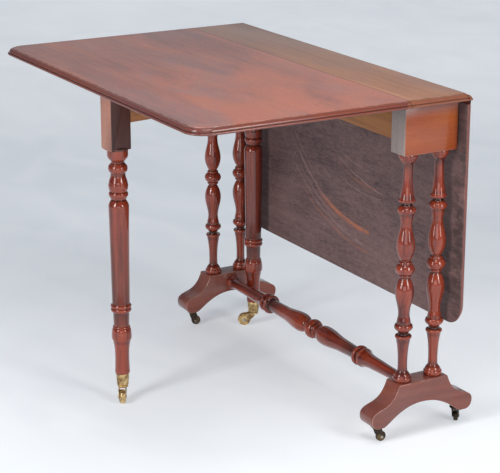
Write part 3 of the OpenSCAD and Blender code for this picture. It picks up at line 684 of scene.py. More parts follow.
class Palette:
    """The finishes that the pieces share."""

    def __init__(self) -> None:
        """Makes every finish once."""
        at = PLACES
        leaf_plan = Plan(at.half_length, at.joint_y + at.leaf_width, at.corner_r, at.joint_y)
        centre_plan = Plan(at.half_length, 1.0, 50 * MM, at.joint_y)
        self.centre_top = PolishedWood(
            "polished_centre_board", (0.20, 0.070, 0.027), (0.36, 0.130, 0.050), (0.50, 0.200, 0.080),
            gloss=0.26, coat=0.7, coat_gloss=0.16, haze=0.25, chips=1.0, plan=centre_plan, edge_w=at.edge_w,
            moulding=(0.19, 0.058, 0.038),
        ).make()
        self.leaf_top = PolishedWood(
            "polished_leaf", (0.19, 0.044, 0.030), (0.32, 0.080, 0.050), (0.60, 0.148, 0.064),
            gloss=0.24, coat=0.7, coat_gloss=0.14, stripe=0.25, haze=0.40, chips=1.0,
            plan=leaf_plan, edge_w=at.edge_w, painted_light_patch=0.75,
        ).make()
        self.front_under = OldUnderside("front_leaf_underside", GATE_RUBS).make()
        self.rear_under = OldUnderside("rear_leaf_underside", GATE_RUBS, hand=-1.0).make()
        self.turned = PolishedWood(
            "polished_turning", (0.020, 0.0030, 0.0028), (0.078, 0.0085, 0.0060), (0.27, 0.040, 0.016),
            gloss=0.14, coat=1.0, coat_gloss=0.03, stripe=0.6, hollow_dark=0.80,
        ).make()
        self.block = PolishedWood(
            "polished_end_block", (0.16, 0.030, 0.009), (0.28, 0.055, 0.015), (0.40, 0.10, 0.024),
            gloss=0.26, coat=0.7, coat_gloss=0.16, stripe=0.3, haze=0.1, haze_colour=(0.24, 0.15, 0.15),
            top_sheen=(0.672, 0.702),
        ).make()
        # The end block's flats facing -Y take a pale grey finish: painted sheen.
        self.block_side = PolishedWood(
            "dusty_block_side", (0.090, 0.060, 0.054), (0.185, 0.140, 0.132), (0.33, 0.27, 0.25),
            gloss=0.5, coat=0.15, coat_gloss=0.3, stripe=0.9, haze=0.2, haze_colour=(0.22, 0.19, 0.185),
            upright=True, top_sheen=(0.660, 0.700), wear=0.15,
        ).make()
        self.foot = PolishedWood(
            "polished_foot", (0.080, 0.017, 0.011), (0.165, 0.036, 0.022), (0.27, 0.068, 0.038),
            gloss=0.28, coat=0.8, coat_gloss=0.14, stripe=0.3, haze=0.40, haze_colour=(0.16, 0.085, 0.085),
            chip_colour=(0.55, 0.38, 0.31),
        ).make()
        # The gate block is dark as painted shade, and its flats facing -Y are pale as painted light.
        self.gate_block = PolishedWood(
            "gate_block", (0.030, 0.010, 0.009), (0.055, 0.019, 0.016), (0.10, 0.034, 0.026),
            gloss=0.30, coat=0.6, coat_gloss=0.2, stripe=0.35, haze=0.2, haze_colour=(0.10, 0.055, 0.05),
        ).make()
        self.gate_face = PolishedWood(
            "pale_gate_face", (0.20, 0.072, 0.050), (0.34, 0.150, 0.108), (0.45, 0.21, 0.155),
            gloss=0.34, coat=0.5, coat_gloss=0.2, stripe=0.35, haze=0.3, haze_colour=(0.34, 0.18, 0.15),
        ).make()
        self.rail = RailWood("plain_rail_wood").make()
        self.gate_brass = OldMetal(
            "worn_caster_brass", (0.78, 0.56, 0.27), (0.22, 0.13, 0.055), cover=0.42
        ).make()
        self.foot_brass = OldMetal(
            "dark_caster_brass", (0.30, 0.20, 0.10), (0.045, 0.032, 0.022), cover=0.75, gloss=0.34,
        ).make()
        self.hinge = OldMetal(
            "hinge_brass", (0.50, 0.36, 0.18), (0.12, 0.080, 0.045), cover=0.7, gloss=0.34
        ).make()
        self.steel = OldMetal(
            "old_steel", (0.46, 0.44, 0.42), (0.10, 0.075, 0.060), cover=0.55, gloss=0.32
        ).make()


# ---- forming ----------------------------------------------------------------------------------


class Along(Enum):
    """Which way the fibres of a piece run in its own drawing."""

    X = (0, 1, 2)
    Y = (1, 0, 2)
    Z = (2, 0, 1)


def soften(points: Sequence[Point2], radius: float, closed: bool = False) -> list[Point2]:
    """Rounds the sharp corners of an outline.

    Args:
        points: The outline.
        radius: How far back from a corner the rounding starts.
        closed: Whether the last point joins the first.

    Returns:
        The rounded outline.
    """
    sharp = math.radians(24)
    steps = 3
    spots = [Vector(p) for p in points]
    count = len(spots)
    made: list[Point2] = []
    for i, spot in enumerate(spots):
        if not closed and i in (0, count - 1):
            made.append(tuple(spot))
            continue
        back, on = spots[i - 1] - spot, spots[(i + 1) % count] - spot
        if back.length < TINY or on.length < TINY or math.pi - back.angle(on) < sharp:
            made.append(tuple(spot))
            continue
        start = spot + back.normalized() * min(radius, back.length * 0.45)
        stop = spot + on.normalized() * min(radius, on.length * 0.45)
        for k in range(steps + 1):
            t = k / steps
            made.append(tuple(start * (1 - t) ** 2 + spot * (2 * t * (1 - t)) + stop * t * t))
    return made


def bezier(p: Sequence[Point2], steps: int) -> list[Point2]:
    """Points along a cubic curve, without its first.

    Args:
        p: The four control points.
        steps: How many points.

    Returns:
        The points.
    """
    a, b, c, d = (Vector(q) for q in p)
    made = []
    for k in range(1, steps + 1):
        t = k / steps
        s = 1 - t
        made.append(tuple(a * s**3 + b * (3 * s * s * t) + c * (3 * s * t * t) + d * t**3))
    return made


def arc(centre: Point2, radius: float, start: float, stop: float, steps: int) -> list[Point2]:
    """Points along a circle from one angle to another, both in degrees."""
    made = []
    for k in range(steps + 1):
        a = math.radians(start + (stop - start) * k / steps)
        made.append((centre[0] + radius * math.cos(a), centre[1] + radius * math.sin(a)))
    return made


def block(low: Point3, high: Point3) -> bmesh.types.BMesh:
    """A box between two corners."""
    bm = bmesh.new()
    size = Vector(high) - Vector(low)
    middle = (Vector(high) + Vector(low)) / 2
    bmesh.ops.create_cube(bm, size=1.0, matrix=Matrix.Translation(middle) @ Matrix.Diagonal((*size, 1)))
    return bm


def prism(outline: Sequence[Point3], run: Vector) -> bmesh.types.BMesh:
    """A flat outline drawn out along a straight run.

    Args:
        outline: Its corners, in order.
        run: How far and which way.

    Returns:
        The closed solid.
    """
    bm = bmesh.new()
    face = bm.faces.new([bm.verts.new(p) for p in outline])
    grown = bmesh.ops.extrude_face_region(bm, geom=[face], use_keep_orig=True)
    lifted = [g for g in grown["geom"] if isinstance(g, bmesh.types.BMVert)]
    bmesh.ops.translate(bm, vec=run, verts=lifted)
    bmesh.ops.recalc_face_normals(bm, faces=bm.faces)
    return bm


def hollows(outline: Sequence[Point2], reach: float = 9 * MM, depth: float = 3.2 * MM) -> list[float]:
    """How far each point of a turned outline lies below (above 0) or above its neighbours.

    Args:
        outline: Radius and place along the axis.
        reach: How far along the axis to look.
        depth: The depth that counts as 1.

    Returns:
        One number for each point, from about -1 to 1.
    """
    made = []
    for r, z in outline:
        around = [q[0] for q in outline if abs(q[1] - z) < reach and q[0] > 5 * MM]
        level = sum(around) / max(1, len(around))
        made.append(max(-1.0, min(1.0, (level - r) / depth)))
    return made


def spun(outline: Sequence[Point2], steps: int = 96, shade_hollows: bool = True) -> bmesh.types.BMesh:
    """An outline turned full round the Z axis.

    Args:
        outline: Radius and height of each point, in order.
        steps: How many facets go round.
        shade_hollows: Whether the points carry how deep they lie.

    Returns:
        The closed solid.
    """
    bm = bmesh.new()
    layer = bm.verts.layers.float.new(WAX_AND_SHADE)
    depths = hollows(outline) if shade_hollows else [0.0] * len(outline)
    verts = []
    for (r, z), depth in zip(outline, depths):
        vert = bm.verts.new((r, 0.0, z))
        vert[layer] = depth
        verts.append(vert)
    edges = [bm.edges.new(pair) for pair in zip(verts, verts[1:])]
    bmesh.ops.spin(
        bm, geom=[*verts, *edges], cent=(0, 0, 0), axis=(0, 0, 1), angle=math.tau, steps=steps,
        use_merge=True, use_duplicate=False,
    )
    bmesh.ops.remove_doubles(bm, verts=bm.verts, dist=TINY)
    bmesh.ops.recalc_face_normals(bm, faces=bm.faces)
    return bm


def ease_arrises(bm: bmesh.types.BMesh, width: float, segments: int = 2, least: float = 38.0) -> None:
    """Rounds the edges of a solid that are sharper than an angle.

    Args:
        bm: The solid.
        width: How far back from the edge.
        segments: How many strips the rounding has.
        least: The angle, in degrees.
    """
    limit = math.radians(least)
    edges = [e for e in bm.edges if len(e.link_faces) == 2 and e.calc_face_angle(0.0) > limit]
    bmesh.ops.bevel(
        bm, geom=edges, offset=width, offset_type="OFFSET", segments=segments, profile=0.5,
        affect="EDGES", clamp_overlap=True, material=-1,
    )


def mesh_of(bm: bmesh.types.BMesh, name: str) -> bpy.types.Mesh:
    """Turns a solid into a mesh with smooth faces and sharp arrises."""
    bmesh.ops.recalc_face_normals(bm, faces=bm.faces)
    mesh = bpy.data.meshes.new(name)
    bm.to_mesh(mesh)
    bm.free()
    smooth_by_angle(mesh)
    return mesh


def smooth_by_angle(mesh: bpy.types.Mesh, angle: float = 34.0) -> None:
    """Shades a mesh smooth except across edges sharper than an angle in degrees."""
    mesh.polygons.foreach_set("use_smooth", [True] * len(mesh.polygons))
    mesh.set_sharp_from_angle(angle=math.radians(angle))


def combine(
    base: bmesh.types.BMesh, others: Iterable[bmesh.types.BMesh], kind: str, name: str
) -> bmesh.types.BMesh:
    """Joins or cuts solids one after another.

    Args:
        base: The solid worked on.
        others: The solids joined to it or taken from it.
        kind: DIFFERENCE, UNION or INTERSECT.
        name: A name for the work.

    Returns:
        The result.
    """
    work = bpy.data.objects.new(name, mesh_of(base, name))
    bpy.context.scene.collection.objects.link(work)
    tools = []
    for i, other in enumerate(others):
        tool = bpy.data.objects.new(f"{name}_tool_{i}", mesh_of(other, name))
        bpy.context.scene.collection.objects.link(tool)
        tools.append(tool)
        cut = work.modifiers.new("cut", "BOOLEAN")
        cut.operation = kind
        cut.solver = "EXACT"
        cut.object = tool
    bpy.context.view_layer.update()
    solved = work.evaluated_get(bpy.context.evaluated_depsgraph_get())
    made = bmesh.new()
    made.from_mesh(solved.to_mesh())
    solved.to_mesh_clear()
    for spare in (work, *tools):
        old = spare.data
        bpy.data.objects.remove(spare)
        bpy.data.meshes.remove(old)
    bmesh.ops.remove_doubles(made, verts=made.verts, dist=WELD)
    bmesh.ops.dissolve_degenerate(made, edges=made.edges, dist=WELD)
    return made


def merged_copy(node: str) -> bmesh.types.BMesh:
    """A frame node's own shape as one clean solid."""
    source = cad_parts[node].data
    plain = bpy.data.meshes.new("copy")
    points = [tuple(v.co) for v in source.vertices]
    plain.from_pydata(points, [], [tuple(p.vertices) for p in source.polygons])
    bm = bmesh.new()
    bm.from_mesh(plain)
    bpy.data.meshes.remove(plain)
    bmesh.ops.remove_doubles(bm, verts=bm.verts, dist=WELD)
    bmesh.ops.dissolve_degenerate(bm, edges=bm.edges, dist=TINY)
    bmesh.ops.dissolve_limit(
        bm, angle_limit=math.radians(0.4), use_dissolve_boundaries=False, verts=bm.verts, edges=bm.edges
    )
    bmesh.ops.recalc_face_normals(bm, faces=bm.faces)
    return bm


def lay_grain(
    mesh: bpy.types.Mesh, along: Along, seed: float, to_drawing: Matrix | None = None
) -> None:
    """Stores on each point where it lies in its plank, fibres first.

    Args:
        mesh: The piece's mesh, in place.
        along: Which way the fibres run.
        seed: Moves the figure, so that no two pieces are alike.
        to_drawing: Takes a point in place back to the piece's own drawing.
    """
    stored = mesh.attributes.new(GRAIN, "FLOAT_VECTOR", "POINT")
    back = to_drawing or Matrix.Identity(4)
    shift = Vector((seed * 1.37, seed * 0.71, seed * 0.43))
    for i, vert in enumerate(mesh.vertices):
        p = back @ vert.co
        stored.data[i].vector = Vector(p[k] for k in along.value) + shift


def mark_points(mesh: bpy.types.Mesh, name: str, measure: Callable[[Vector], float]) -> None:
    """Stores a number on each point of a mesh.

    Args:
        mesh: The piece's mesh.
        name: The number's name.
        measure: Works the number out from the point's place.
    """
    stored = mesh.attributes.new(name, "FLOAT", "POINT")
    for i, vert in enumerate(mesh.vertices):
        stored.data[i].value = measure(vert.co)


def second_finish(mesh: bpy.types.Mesh, facing: Vector, above: float, index: int) -> None:
    """Gives the flats that face one way another of the piece's finishes.

    Args:
        mesh: The piece's mesh, in place.
        facing: The way the flats face.
        above: The height from which they count.
        index: The finish's place in the piece's list.
    """
    for face in mesh.polygons:
        if face.normal.dot(facing) > FACES_THIS_WAY and face.center.z > above:
            face.material_index = index


def mark_arrises(mesh: bpy.types.Mesh, through: Vector | None = None) -> None:
    """Stores on each point how far its surface turns away from the flats, 0 to 1.

    Args:
        mesh: The piece's mesh, in place.
        through: The way through a shaped plank, where only its long arrises count.
    """
    stored = mesh.attributes.new(WEAR, "FLOAT", "POINT")
    for i, vert in enumerate(mesh.vertices):
        if through:
            straight = abs(vert.normal.dot(through))
            turn = min(straight, math.sqrt(max(0.0, 1.0 - straight**2)))
        else:
            turn = sorted(abs(c) for c in vert.normal)[1]
        stored.data[i].value = min(1.0, turn * 2.0)


def set_piece(
    mesh: bpy.types.Mesh,
    name: str,
    body: str,
    stands_for: Sequence[str],
    finishes: Sequence[bpy.types.Material],
) -> bpy.types.Object:
    """Puts a finished mesh in the scene as a piece of the table.

    Args:
        mesh: The mesh, in place.
        name: The piece's name.
        body: The moving part it belongs to.
        stands_for: The frame nodes it is shown in place of.
        finishes: Its materials, in slot order.

    Returns:
        The piece.
    """
    for finish in finishes:
        mesh.materials.append(finish)
    piece = bpy.data.objects.new(name, mesh)
    bpy.context.scene.collection.objects.link(piece)
    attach(piece, body)
    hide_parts(*stands_for)
    low, high = (Vector(c) for c in (piece.bound_box[0], piece.bound_box[6]))
    boxes = [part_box(n) for n in stands_for]
    want_low = Vector(min(b[0][k] for b in boxes) for k in range(3))
    want_high = Vector(max(b[1][k] for b in boxes) for k in range(3))
    off = max(abs(a - b) for a, b in zip((*low, *high), (*want_low, *want_high)))
    LOG.info("%s on %s: %d faces, within %.2f mm of its node", name, body, len(mesh.polygons), off / MM)
    return piece


def dress_nodes(nodes: Iterable[str], finish: bpy.types.Material) -> None:
    """Gives frame nodes shown as they are a finish."""
    for node in nodes:
        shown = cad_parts[node]
        shown.data.materials.clear()
        shown.data.materials.append(finish)
        LOG.info("%s shown as drawn", node)


# ---- places -----------------------------------------------------------------------------------


class Side(Enum):
    """The front of the table, whose leaf is raised, and its rear, whose leaf hangs."""

    FRONT = -1
    REAR = 1

    @property
    def word(self) -> str:
        """The name used in node names."""
        return self.name.lower()


class End(Enum):
    """The two ends of the table."""

    NEAR = 1
    FAR = -1

    @property
    def word(self) -> str:
        """The name used in node names."""
        return self.name.lower()


@dataclass(frozen=True)
class Layout:
    """The main places of the table, in metres, all as in the frame."""

    frame_y: float = 208.75 * MM
    height: float = 720 * MM
    board_t: float = 14 * MM
    half_length: float = 455 * MM
    joint_y: float = 67.5 * MM
    leaf_width: float = 475 * MM
    corner_r: float = 45 * MM
    edge_w: float = 12 * MM
    rule_r: float = 9.5 * MM
    rule_gap: float = 0.3 * MM
    fillet: float = 2 * MM
    pin_x: float = 109 * MM
    pin_y: float = 23 * MM
    gate_reach: float = 432 * MM
    gate_lateral: float = 5 * MM
    gate_open: float = 82.5

    @property
    def under_z(self) -> float:
        """Height of the boards' underside."""
        return self.height - self.board_t

    @property
    def pivot_z(self) -> float:
        """Height of the hinge pins."""
        return self.height - self.fillet - self.rule_r

    def table(self) -> Matrix:
        """From the middle of the table's frame to the shared frame."""
        return Matrix.Translation((0, self.frame_y, 0))

    def leaf(self, side: Side) -> Matrix:
        """From a leaf drawn raised at the rear to where it is."""
        if side is Side.FRONT:
            return self.table() @ Matrix.Diagonal((1, -1, 1, 1))
        pivot = Matrix.Translation((0, self.joint_y, self.pivot_z))
        return self.table() @ pivot @ Matrix.Rotation(-math.pi / 2, 4, "X") @ pivot.inverted()

    def gate(self, side: Side) -> Matrix:
        """From a gate drawn closed, its pin at the origin, to where it stands."""
        half_turn = Matrix.Rotation(0 if side is Side.FRONT else math.pi, 4, "Z")
        swing = Matrix.Rotation(-math.radians(self.gate_open if side is Side.FRONT else 0), 4, "Z")
        return self.table() @ half_turn @ Matrix.Translation((-self.pin_x, -self.pin_y, 0)) @ swing

    def gate_leg(self, side: Side) -> Matrix:
        """From a gate leg drawn on the Z axis to where it stands."""
        return self.gate(side) @ Matrix.Translation((self.gate_reach, -self.gate_lateral, 0))


PLACES = Layout()


# ---- the top ----------------------------------------------------------------------------------


@dataclass(frozen=True)
class EdgeMoulding:
    """The moulded edge: a small step, a quarter round, a quirk and a bead."""

    step: float = 1.0 * MM
    flat: float = 1.5 * MM
    round_r: float = 7.0 * MM
    quirk_in: float = 1.5 * MM
    quirk_h: float = 0.8 * MM
    bead_r: float = 2.4 * MM
    ease: float = 0.45 * MM

    def outline(self, width: float, thickness: float) -> list[Point2]:
        """The edge from the flat top down to the underside.

        Args:
            width: From the flat top's edge to the outermost edge.
            thickness: The board's thickness.

        Returns:
            Distance in from the outermost edge, and height below the surface.
        """
        round_in = width - self.flat
        low = -self.step - self.round_r
        bead_z = low - self.quirk_h - self.bead_r
        nose = round_in - self.round_r
        points = [(width, 0.0), (width, -self.step)]
        points += [
            (round_in - self.round_r * math.sin(a), low + self.round_r * math.cos(a))
            for a in (math.pi / 2 * k / 12 for k in range(13))
        ]
        points += [(nose + self.quirk_in, low), (nose + self.quirk_in, low - self.quirk_h)]
        points += [
            (self.bead_r - self.bead_r * math.sin(a), bead_z + self.bead_r * math.cos(a))
            for a in (math.pi * k / 14 for k in range(15))
        ]
        points.append((self.bead_r, -thickness))
        return points

    def eased(self, width: float, thickness: float) -> list[Point2]:
        """The same edge with its arrises rubbed round."""
        led = [(width + 3 * MM, 0.0), *self.outline(width, thickness), (self.bead_r + 3 * MM, -thickness)]
        return soften(led, self.ease)


@dataclass
class TableTop:
    """The centre board and its two leaves, with their moulded edges and rule joints."""

    palette: Palette
    moulding: EdgeMoulding = field(default_factory=EdgeMoulding)
    hinge_x: float = 290 * MM
    hinge_l: float = 38 * MM
    plate_t: float = 1.4 * MM
    table_plate: float = 26 * MM
    leaf_plate: float = 44 * MM
    barrel_r: float = 2.5 * MM
    gap: float = 0.3 * MM
    beyond: float = 4 * MM

    def build(self) -> None:
        """Makes the three boards."""
        self._centre_board()
        for side in Side:
            self._leaf(side)

    def _blank_leaf(self) -> bmesh.types.BMesh:
        """A leaf drawn raised at the rear, moulded on three sides and square along its joint."""
        at = PLACES
        profile = self.moulding.eased(at.edge_w, at.board_t)
        corner_y = at.joint_y + at.leaf_width - at.corner_r
        corner_x = at.half_length - at.corner_r
        bm = bmesh.new()
        for inset, drop in profile:
            bm.verts.new((at.half_length - inset, at.joint_y, at.height + drop))
        first = list(bm.verts)
        section = [bm.edges.new(pair) for pair in zip(first, first[1:])]
        section = self._run(bm, section, Vector((0, corner_y - at.joint_y, 0)))
        section = self._turn_corner(bm, section, Vector((corner_x, corner_y, 0)))
        section = self._run(bm, section, Vector((-2 * corner_x, 0, 0)))
        section = self._turn_corner(bm, section, Vector((-corner_x, corner_y, 0)))
        self._run(bm, section, Vector((0, at.joint_y - corner_y, 0)))
        bmesh.ops.remove_doubles(bm, verts=bm.verts, dist=ON_LEVEL)
        ends = [v for v in bm.verts if v.co.y < at.joint_y + ON_LEVEL]
        for z in (at.height, at.under_z):
            level = [v for v in ends if abs(v.co.z - z) < ON_LEVEL]
            joint = bm.edges.new(sorted(level, key=lambda v: abs(v.co.x))[:2])
            rim = [
                e for e in bm.edges if e.is_boundary
                if all(abs(v.co.z - z) < ON_LEVEL for v in e.verts) and not all(v in ends for v in e.verts)
            ]
            bmesh.ops.edgeloop_fill(bm, edges=[*rim, joint])
        bmesh.ops.edgeloop_fill(bm, edges=[e for e in bm.edges if e.is_boundary])
        bmesh.ops.recalc_face_normals(bm, faces=bm.faces)
        return bm

    def _run(
        self, bm: bmesh.types.BMesh, section: Sequence[bmesh.types.BMEdge], way: Vector
    ) -> list[bmesh.types.BMEdge]:
        """Draws the moulding straight on from its last section.

        Args:
            bm: The leaf being drawn.
            section: The edges of the last section.
            way: How far the moulding runs, and which way.

        Returns:
            The edges of the new last section.
        """
        made = bmesh.ops.extrude_edge_only(bm, edges=section)["geom"]
        bmesh.ops.translate(bm, vec=way, verts=[g for g in made if isinstance(g, bmesh.types.BMVert)])
        return [g for g in made if isinstance(g, bmesh.types.BMEdge)]

    def _turn_corner(
        self, bm: bmesh.types.BMesh, section: Sequence[bmesh.types.BMEdge], about: Vector
    ) -> list[bmesh.types.BMEdge]:
        """Draws the moulding round a corner from its last section.

        Args:
            bm: The leaf being drawn.
            section: The edges of the last section.
            about: The middle of the corner's round.

        Returns:
            The edges of the new last section.
        """
        turned = bmesh.ops.spin(
            bm, geom=section, cent=about, axis=(0, 0, 1), angle=math.pi / 2, steps=24, use_duplicate=False
        )
        return [g for g in turned["geom_last"] if isinstance(g, bmesh.types.BMEdge)]

    def _cove_tool(self) -> bmesh.types.BMesh:
        """What the hollow plane takes from a leaf's joint edge."""
        at = PLACES
        outer = at.rule_r + at.rule_gap
        drop = math.sqrt(outer**2 - at.rule_r**2)
        first = -math.degrees(math.asin(drop / outer))
        last = math.degrees(math.acos(at.rule_gap / outer))
        points = [(-self.beyond, -self.barrel_r - self.beyond), (at.rule_r, -self.barrel_r - self.beyond)]
        points += arc((0, 0), outer, first, last, 20)
        points += [(at.rule_gap, outer + self.beyond), (-self.beyond, outer + self.beyond)]
        x0 = -at.half_length - self.beyond
        return prism(
            [(x0, at.joint_y + y, at.pivot_z + z) for y, z in points], Vector((-2 * x0, 0, 0))
        )

    def _plate_tools(self, low_y: float, high_y: float) -> list[bmesh.types.BMesh]:
        """What is let in beneath for the hinge plates, between two distances from the joint."""
        at = PLACES
        half = self.hinge_l / 2 + 0.1 * MM
        return [
            block(
                (s * self.hinge_x - half, at.joint_y + low_y, at.under_z - self.beyond),
                (s * self.hinge_x + half, at.joint_y + high_y, at.under_z + self.plate_t),
            )
            for s in (-1, 1)
        ]

    def _finish_board(
        self,
        bm: bmesh.types.BMesh,
        place: Matrix,
        name: str,
        seed: float,
        finishes: Sequence[bpy.types.Material],
        body: str,
    ) -> None:
        """Marks a board's faces and points, puts it in place and adds it.

        Args:
            bm: The board, drawn raised at the rear.
            place: Where it goes.
            name: The node's name.
            seed: Moves its figure.
            finishes: The polished finish and the finish beneath.
            body: The moving part it belongs to.
        """
        at = PLACES
        bmesh.ops.recalc_face_normals(bm, faces=bm.faces)
        bmesh.ops.triangulate(bm, faces=[f for f in bm.faces if len(f.verts) > 4])
        for face in bm.faces:
            low = face.calc_center_median().z < at.under_z + self.plate_t + 0.1 * MM
            face.material_index = 1 if low and abs(face.normal.z) > 0.7 else 0
        mesh = mesh_of(bm, name)
        board = mesh.attributes.new(BOARD, "FLOAT_VECTOR", "POINT")
        for i, vert in enumerate(mesh.vertices):
            board.data[i].vector = vert.co
        mark_points(mesh, WAX_AND_SHADE, self._wax_and_shade)
        mark_points(mesh, EDGE, self._edge_zone)
        lay_grain(mesh, Along.X, seed)
        mesh.transform(place)
        if place.determinant() < 0:
            mesh.flip_normals()
        set_piece(mesh, name.replace("_leaf", "_flap").replace("centre_board", "middle_board"),
                  body, [name], finishes)

    def _edge_zone(self, spot: Vector) -> float:
        """1 at the rim of a board, falling to 0 where its flat top begins."""
        at = PLACES
        inset = min(at.half_length - abs(spot.x), at.joint_y + at.leaf_width - spot.y)
        return max(0.0, min(1.0, 1.0 - inset / at.edge_w))

    def _wax_and_shade(self, spot: Vector) -> float:
        """How much old wax and painted shade lie at a point of a board, in its moulding's recesses and its
        joint.
        """
        at = PLACES
        drop = at.height - spot.z
        inset = min(at.half_length - abs(spot.x), at.joint_y + at.leaf_width - spot.y)
        if inset < at.edge_w + 0.2 * MM:
            low = self.moulding.step + self.moulding.round_r
            in_step = inset > at.edge_w - self.moulding.flat - 0.9 * MM and drop > 0.4 * MM
            in_quirk = low - 0.8 * MM < drop < low + self.moulding.quirk_h + 0.7 * MM and inset > 1.8 * MM
            return 1.0 if in_quirk else 0.8 if in_step else 0.0
        near_joint = abs(abs(spot.y) - at.joint_y) < 1.2 * MM and drop < at.fillet + 1 * MM
        return 0.9 if near_joint and drop > 0.5 * MM else 0.0

    def _leaf(self, side: Side) -> None:
        """Makes one leaf."""
        at = PLACES
        tools = [self._cove_tool(), *self._plate_tools(at.rule_r - 1 * MM, self.leaf_plate + 0.1 * MM)]
        bm = combine(self._blank_leaf(), tools, "DIFFERENCE", "leaf_work")
        under = self.palette.front_under if side is Side.FRONT else self.palette.rear_under
        seed = 3.1 if side is Side.FRONT else 8.7
        name = f"{side.word}_leaf"
        self._finish_board(bm, at.leaf(side), name, seed, (self.palette.leaf_top, under), name)

    def _centre_board(self) -> None:
        """Makes the centre board: noses along both joints, moulding across both ends."""
        at = PLACES
        low = at.under_z - at.pivot_z
        half = [(0.0, low), (at.joint_y + math.sqrt(at.rule_r**2 - low**2), low)]
        half += arc((at.joint_y, 0), at.rule_r, math.degrees(math.asin(low / at.rule_r)), 90, 20)[1:]
        half += [(at.joint_y, at.height - at.pivot_z), (0.0, at.height - at.pivot_z)]
        right = soften(half, 0.35 * MM)
        outline = [*right[1:-1], *[(-y, z) for y, z in reversed(right[1:-1])]]
        x0 = -at.half_length
        base = prism([(x0, y, at.pivot_z + z) for y, z in outline], Vector((-2 * x0, 0, 0)))
        tools = []
        for s in (-1, 1):
            profile = self.moulding.eased(at.edge_w, at.board_t)[1:-1]
            waste = [*profile, (-self.beyond, -at.board_t - self.beyond), (-self.beyond, self.beyond),
                     (at.edge_w, self.beyond)]
            waste.insert(len(profile), (self.moulding.bead_r, -at.board_t - self.beyond))
            corners = [
                (s * (at.half_length - inset), -at.joint_y - 3 * at.rule_r, at.height + drop)
                for inset, drop in waste
            ]
            tools.append(prism(corners, Vector((0, 2 * at.joint_y + 6 * at.rule_r, 0))))
        for side in Side:
            for tool in (
                *self._plate_tools(-self.table_plate - 0.1 * MM, 3 * at.rule_r),
                *self._barrel_tools(),
            ):
                if side is Side.FRONT:
                    bmesh.ops.scale(tool, vec=(1, -1, 1), verts=tool.verts)
                    bmesh.ops.reverse_faces(tool, faces=tool.faces)
                tools.append(tool)
        bm = combine(base, tools, "DIFFERENCE", "board_work")
        self._finish_board(
            bm, at.table(), "centre_board", 5.9, (self.palette.centre_top, self.palette.front_under), "frame"
        )

    def _barrel_tools(self) -> list[bmesh.types.BMesh]:
        """The room cut for the hinge barrels."""
        at = PLACES
        half = self.hinge_l / 2 + self.gap
        r = self.barrel_r + self.gap
        points = [(-r, -self.barrel_r - self.beyond), *reversed(arc((0, 0), r, 0, 180, 12)),
                  (r, 0.0), (3 * at.rule_r, 0.0), (3 * at.rule_r, -self.barrel_r - self.beyond)]
        return [
            prism(
                [(s * self.hinge_x - half, at.joint_y + y, at.pivot_z + z) for y, z in points],
                Vector((2 * half, 0, 0)),
            )
            for s in (-1, 1)
        ]


# ---- turned work ------------------------------------------------------------------------------


class Cut(Enum):
    """The shapes that a turner's gouge leaves."""

    LINE = "line"
    OGEE = "ogee"
    FLARE = "flare"
    DOME = "dome"
    BEAD = "bead"


@dataclass(frozen=True)
class Stretch:
    """One length of a turning, in millimetres.

    shape is the power of a flare or dome, and the bulge of a bead.
    """

    cut: Cut
    length: float
    radius: float
    shape: float = 0.0

    def points(self, start: float, steps: int) -> list[Point2]:
        """Radius and place of the points along it, without its first.

        Args:
            start: The radius it starts from.
            steps: How many points.

        Returns:
            The points.
        """
        made = []
        for k in [steps] if self.cut is Cut.LINE else range(1, steps + 1):
            t = k / steps
            if self.cut is Cut.BEAD:
                t = (1 - math.cos(math.pi * t)) / 2
            made.append((self._radius(start, t), self.length * t))
        return made

    def _radius(self, start: float, t: float) -> float:
        """The radius at a share t of the way along."""
        change = self.radius - start
        match self.cut:
            case Cut.OGEE:
                return start + change * (1 - math.cos(math.pi * t)) / 2
            case Cut.FLARE:
                return start + change * t**self.shape
            case Cut.DOME:
                return self.radius - change * (1 - t) ** self.shape
            case Cut.BEAD:
                return start + change * t + self.shape * math.sqrt(max(0.0, 1 - (2 * t - 1) ** 2))
            case _:
                return start + change * t


@dataclass(frozen=True)
class Turning:
    """A whole turned outline made of stretches."""

    start: float
    stretches: tuple[Stretch, ...]
    steps: int = 14

    def outline(self, length: float) -> list[Point2]:
        """The outline drawn to a length.

        Args:
            length: The length it is fitted to, in metres.

        Returns:
            Radius and place along the axis, in metres.
        """
        fit = length / sum(s.length for s in self.stretches)
        made = [(self.start * MM, 0.0)]
        radius, place = self.start, 0.0
        for stretch in self.stretches:
            made += [(r * MM, (place + z) * fit) for r, z in stretch.points(radius, self.steps)]
            radius = stretch.radius
            place += stretch.length
        return made


COLUMN_HALF = Turning(
    17.2,
    (
        Stretch(Cut.BEAD, 11, 17.2, 2.3),
        Stretch(Cut.LINE, 0.8, 16.6),
        Stretch(Cut.OGEE, 13.2, 10),
        Stretch(Cut.LINE, 10, 9.8),
        Stretch(Cut.FLARE, 59, 15.4, 2.4),
        Stretch(Cut.LINE, 0.8, 16.6),
        Stretch(Cut.BEAD, 4.6, 16.2, 0.9),
        Stretch(Cut.LINE, 0.9, 11),
        Stretch(Cut.BEAD, 5.5, 11.4, -1.9),
        Stretch(Cut.OGEE, 8.6, 18),
        Stretch(Cut.BEAD, 9, 16, 2),
        Stretch(Cut.LINE, 0.8, 14.6),
        Stretch(Cut.OGEE, 21, 11.7),
        Stretch(Cut.OGEE, 47, 19.2),
        Stretch(Cut.FLARE, 29, 10.4, 2),
        Stretch(Cut.LINE, 2, 10.2),
        Stretch(Cut.BEAD, 5, 12.6, 1.5),
        Stretch(Cut.OGEE, 6, 17.6),
        Stretch(Cut.DOME, 6.3, 19.7, 2),
    ),
)
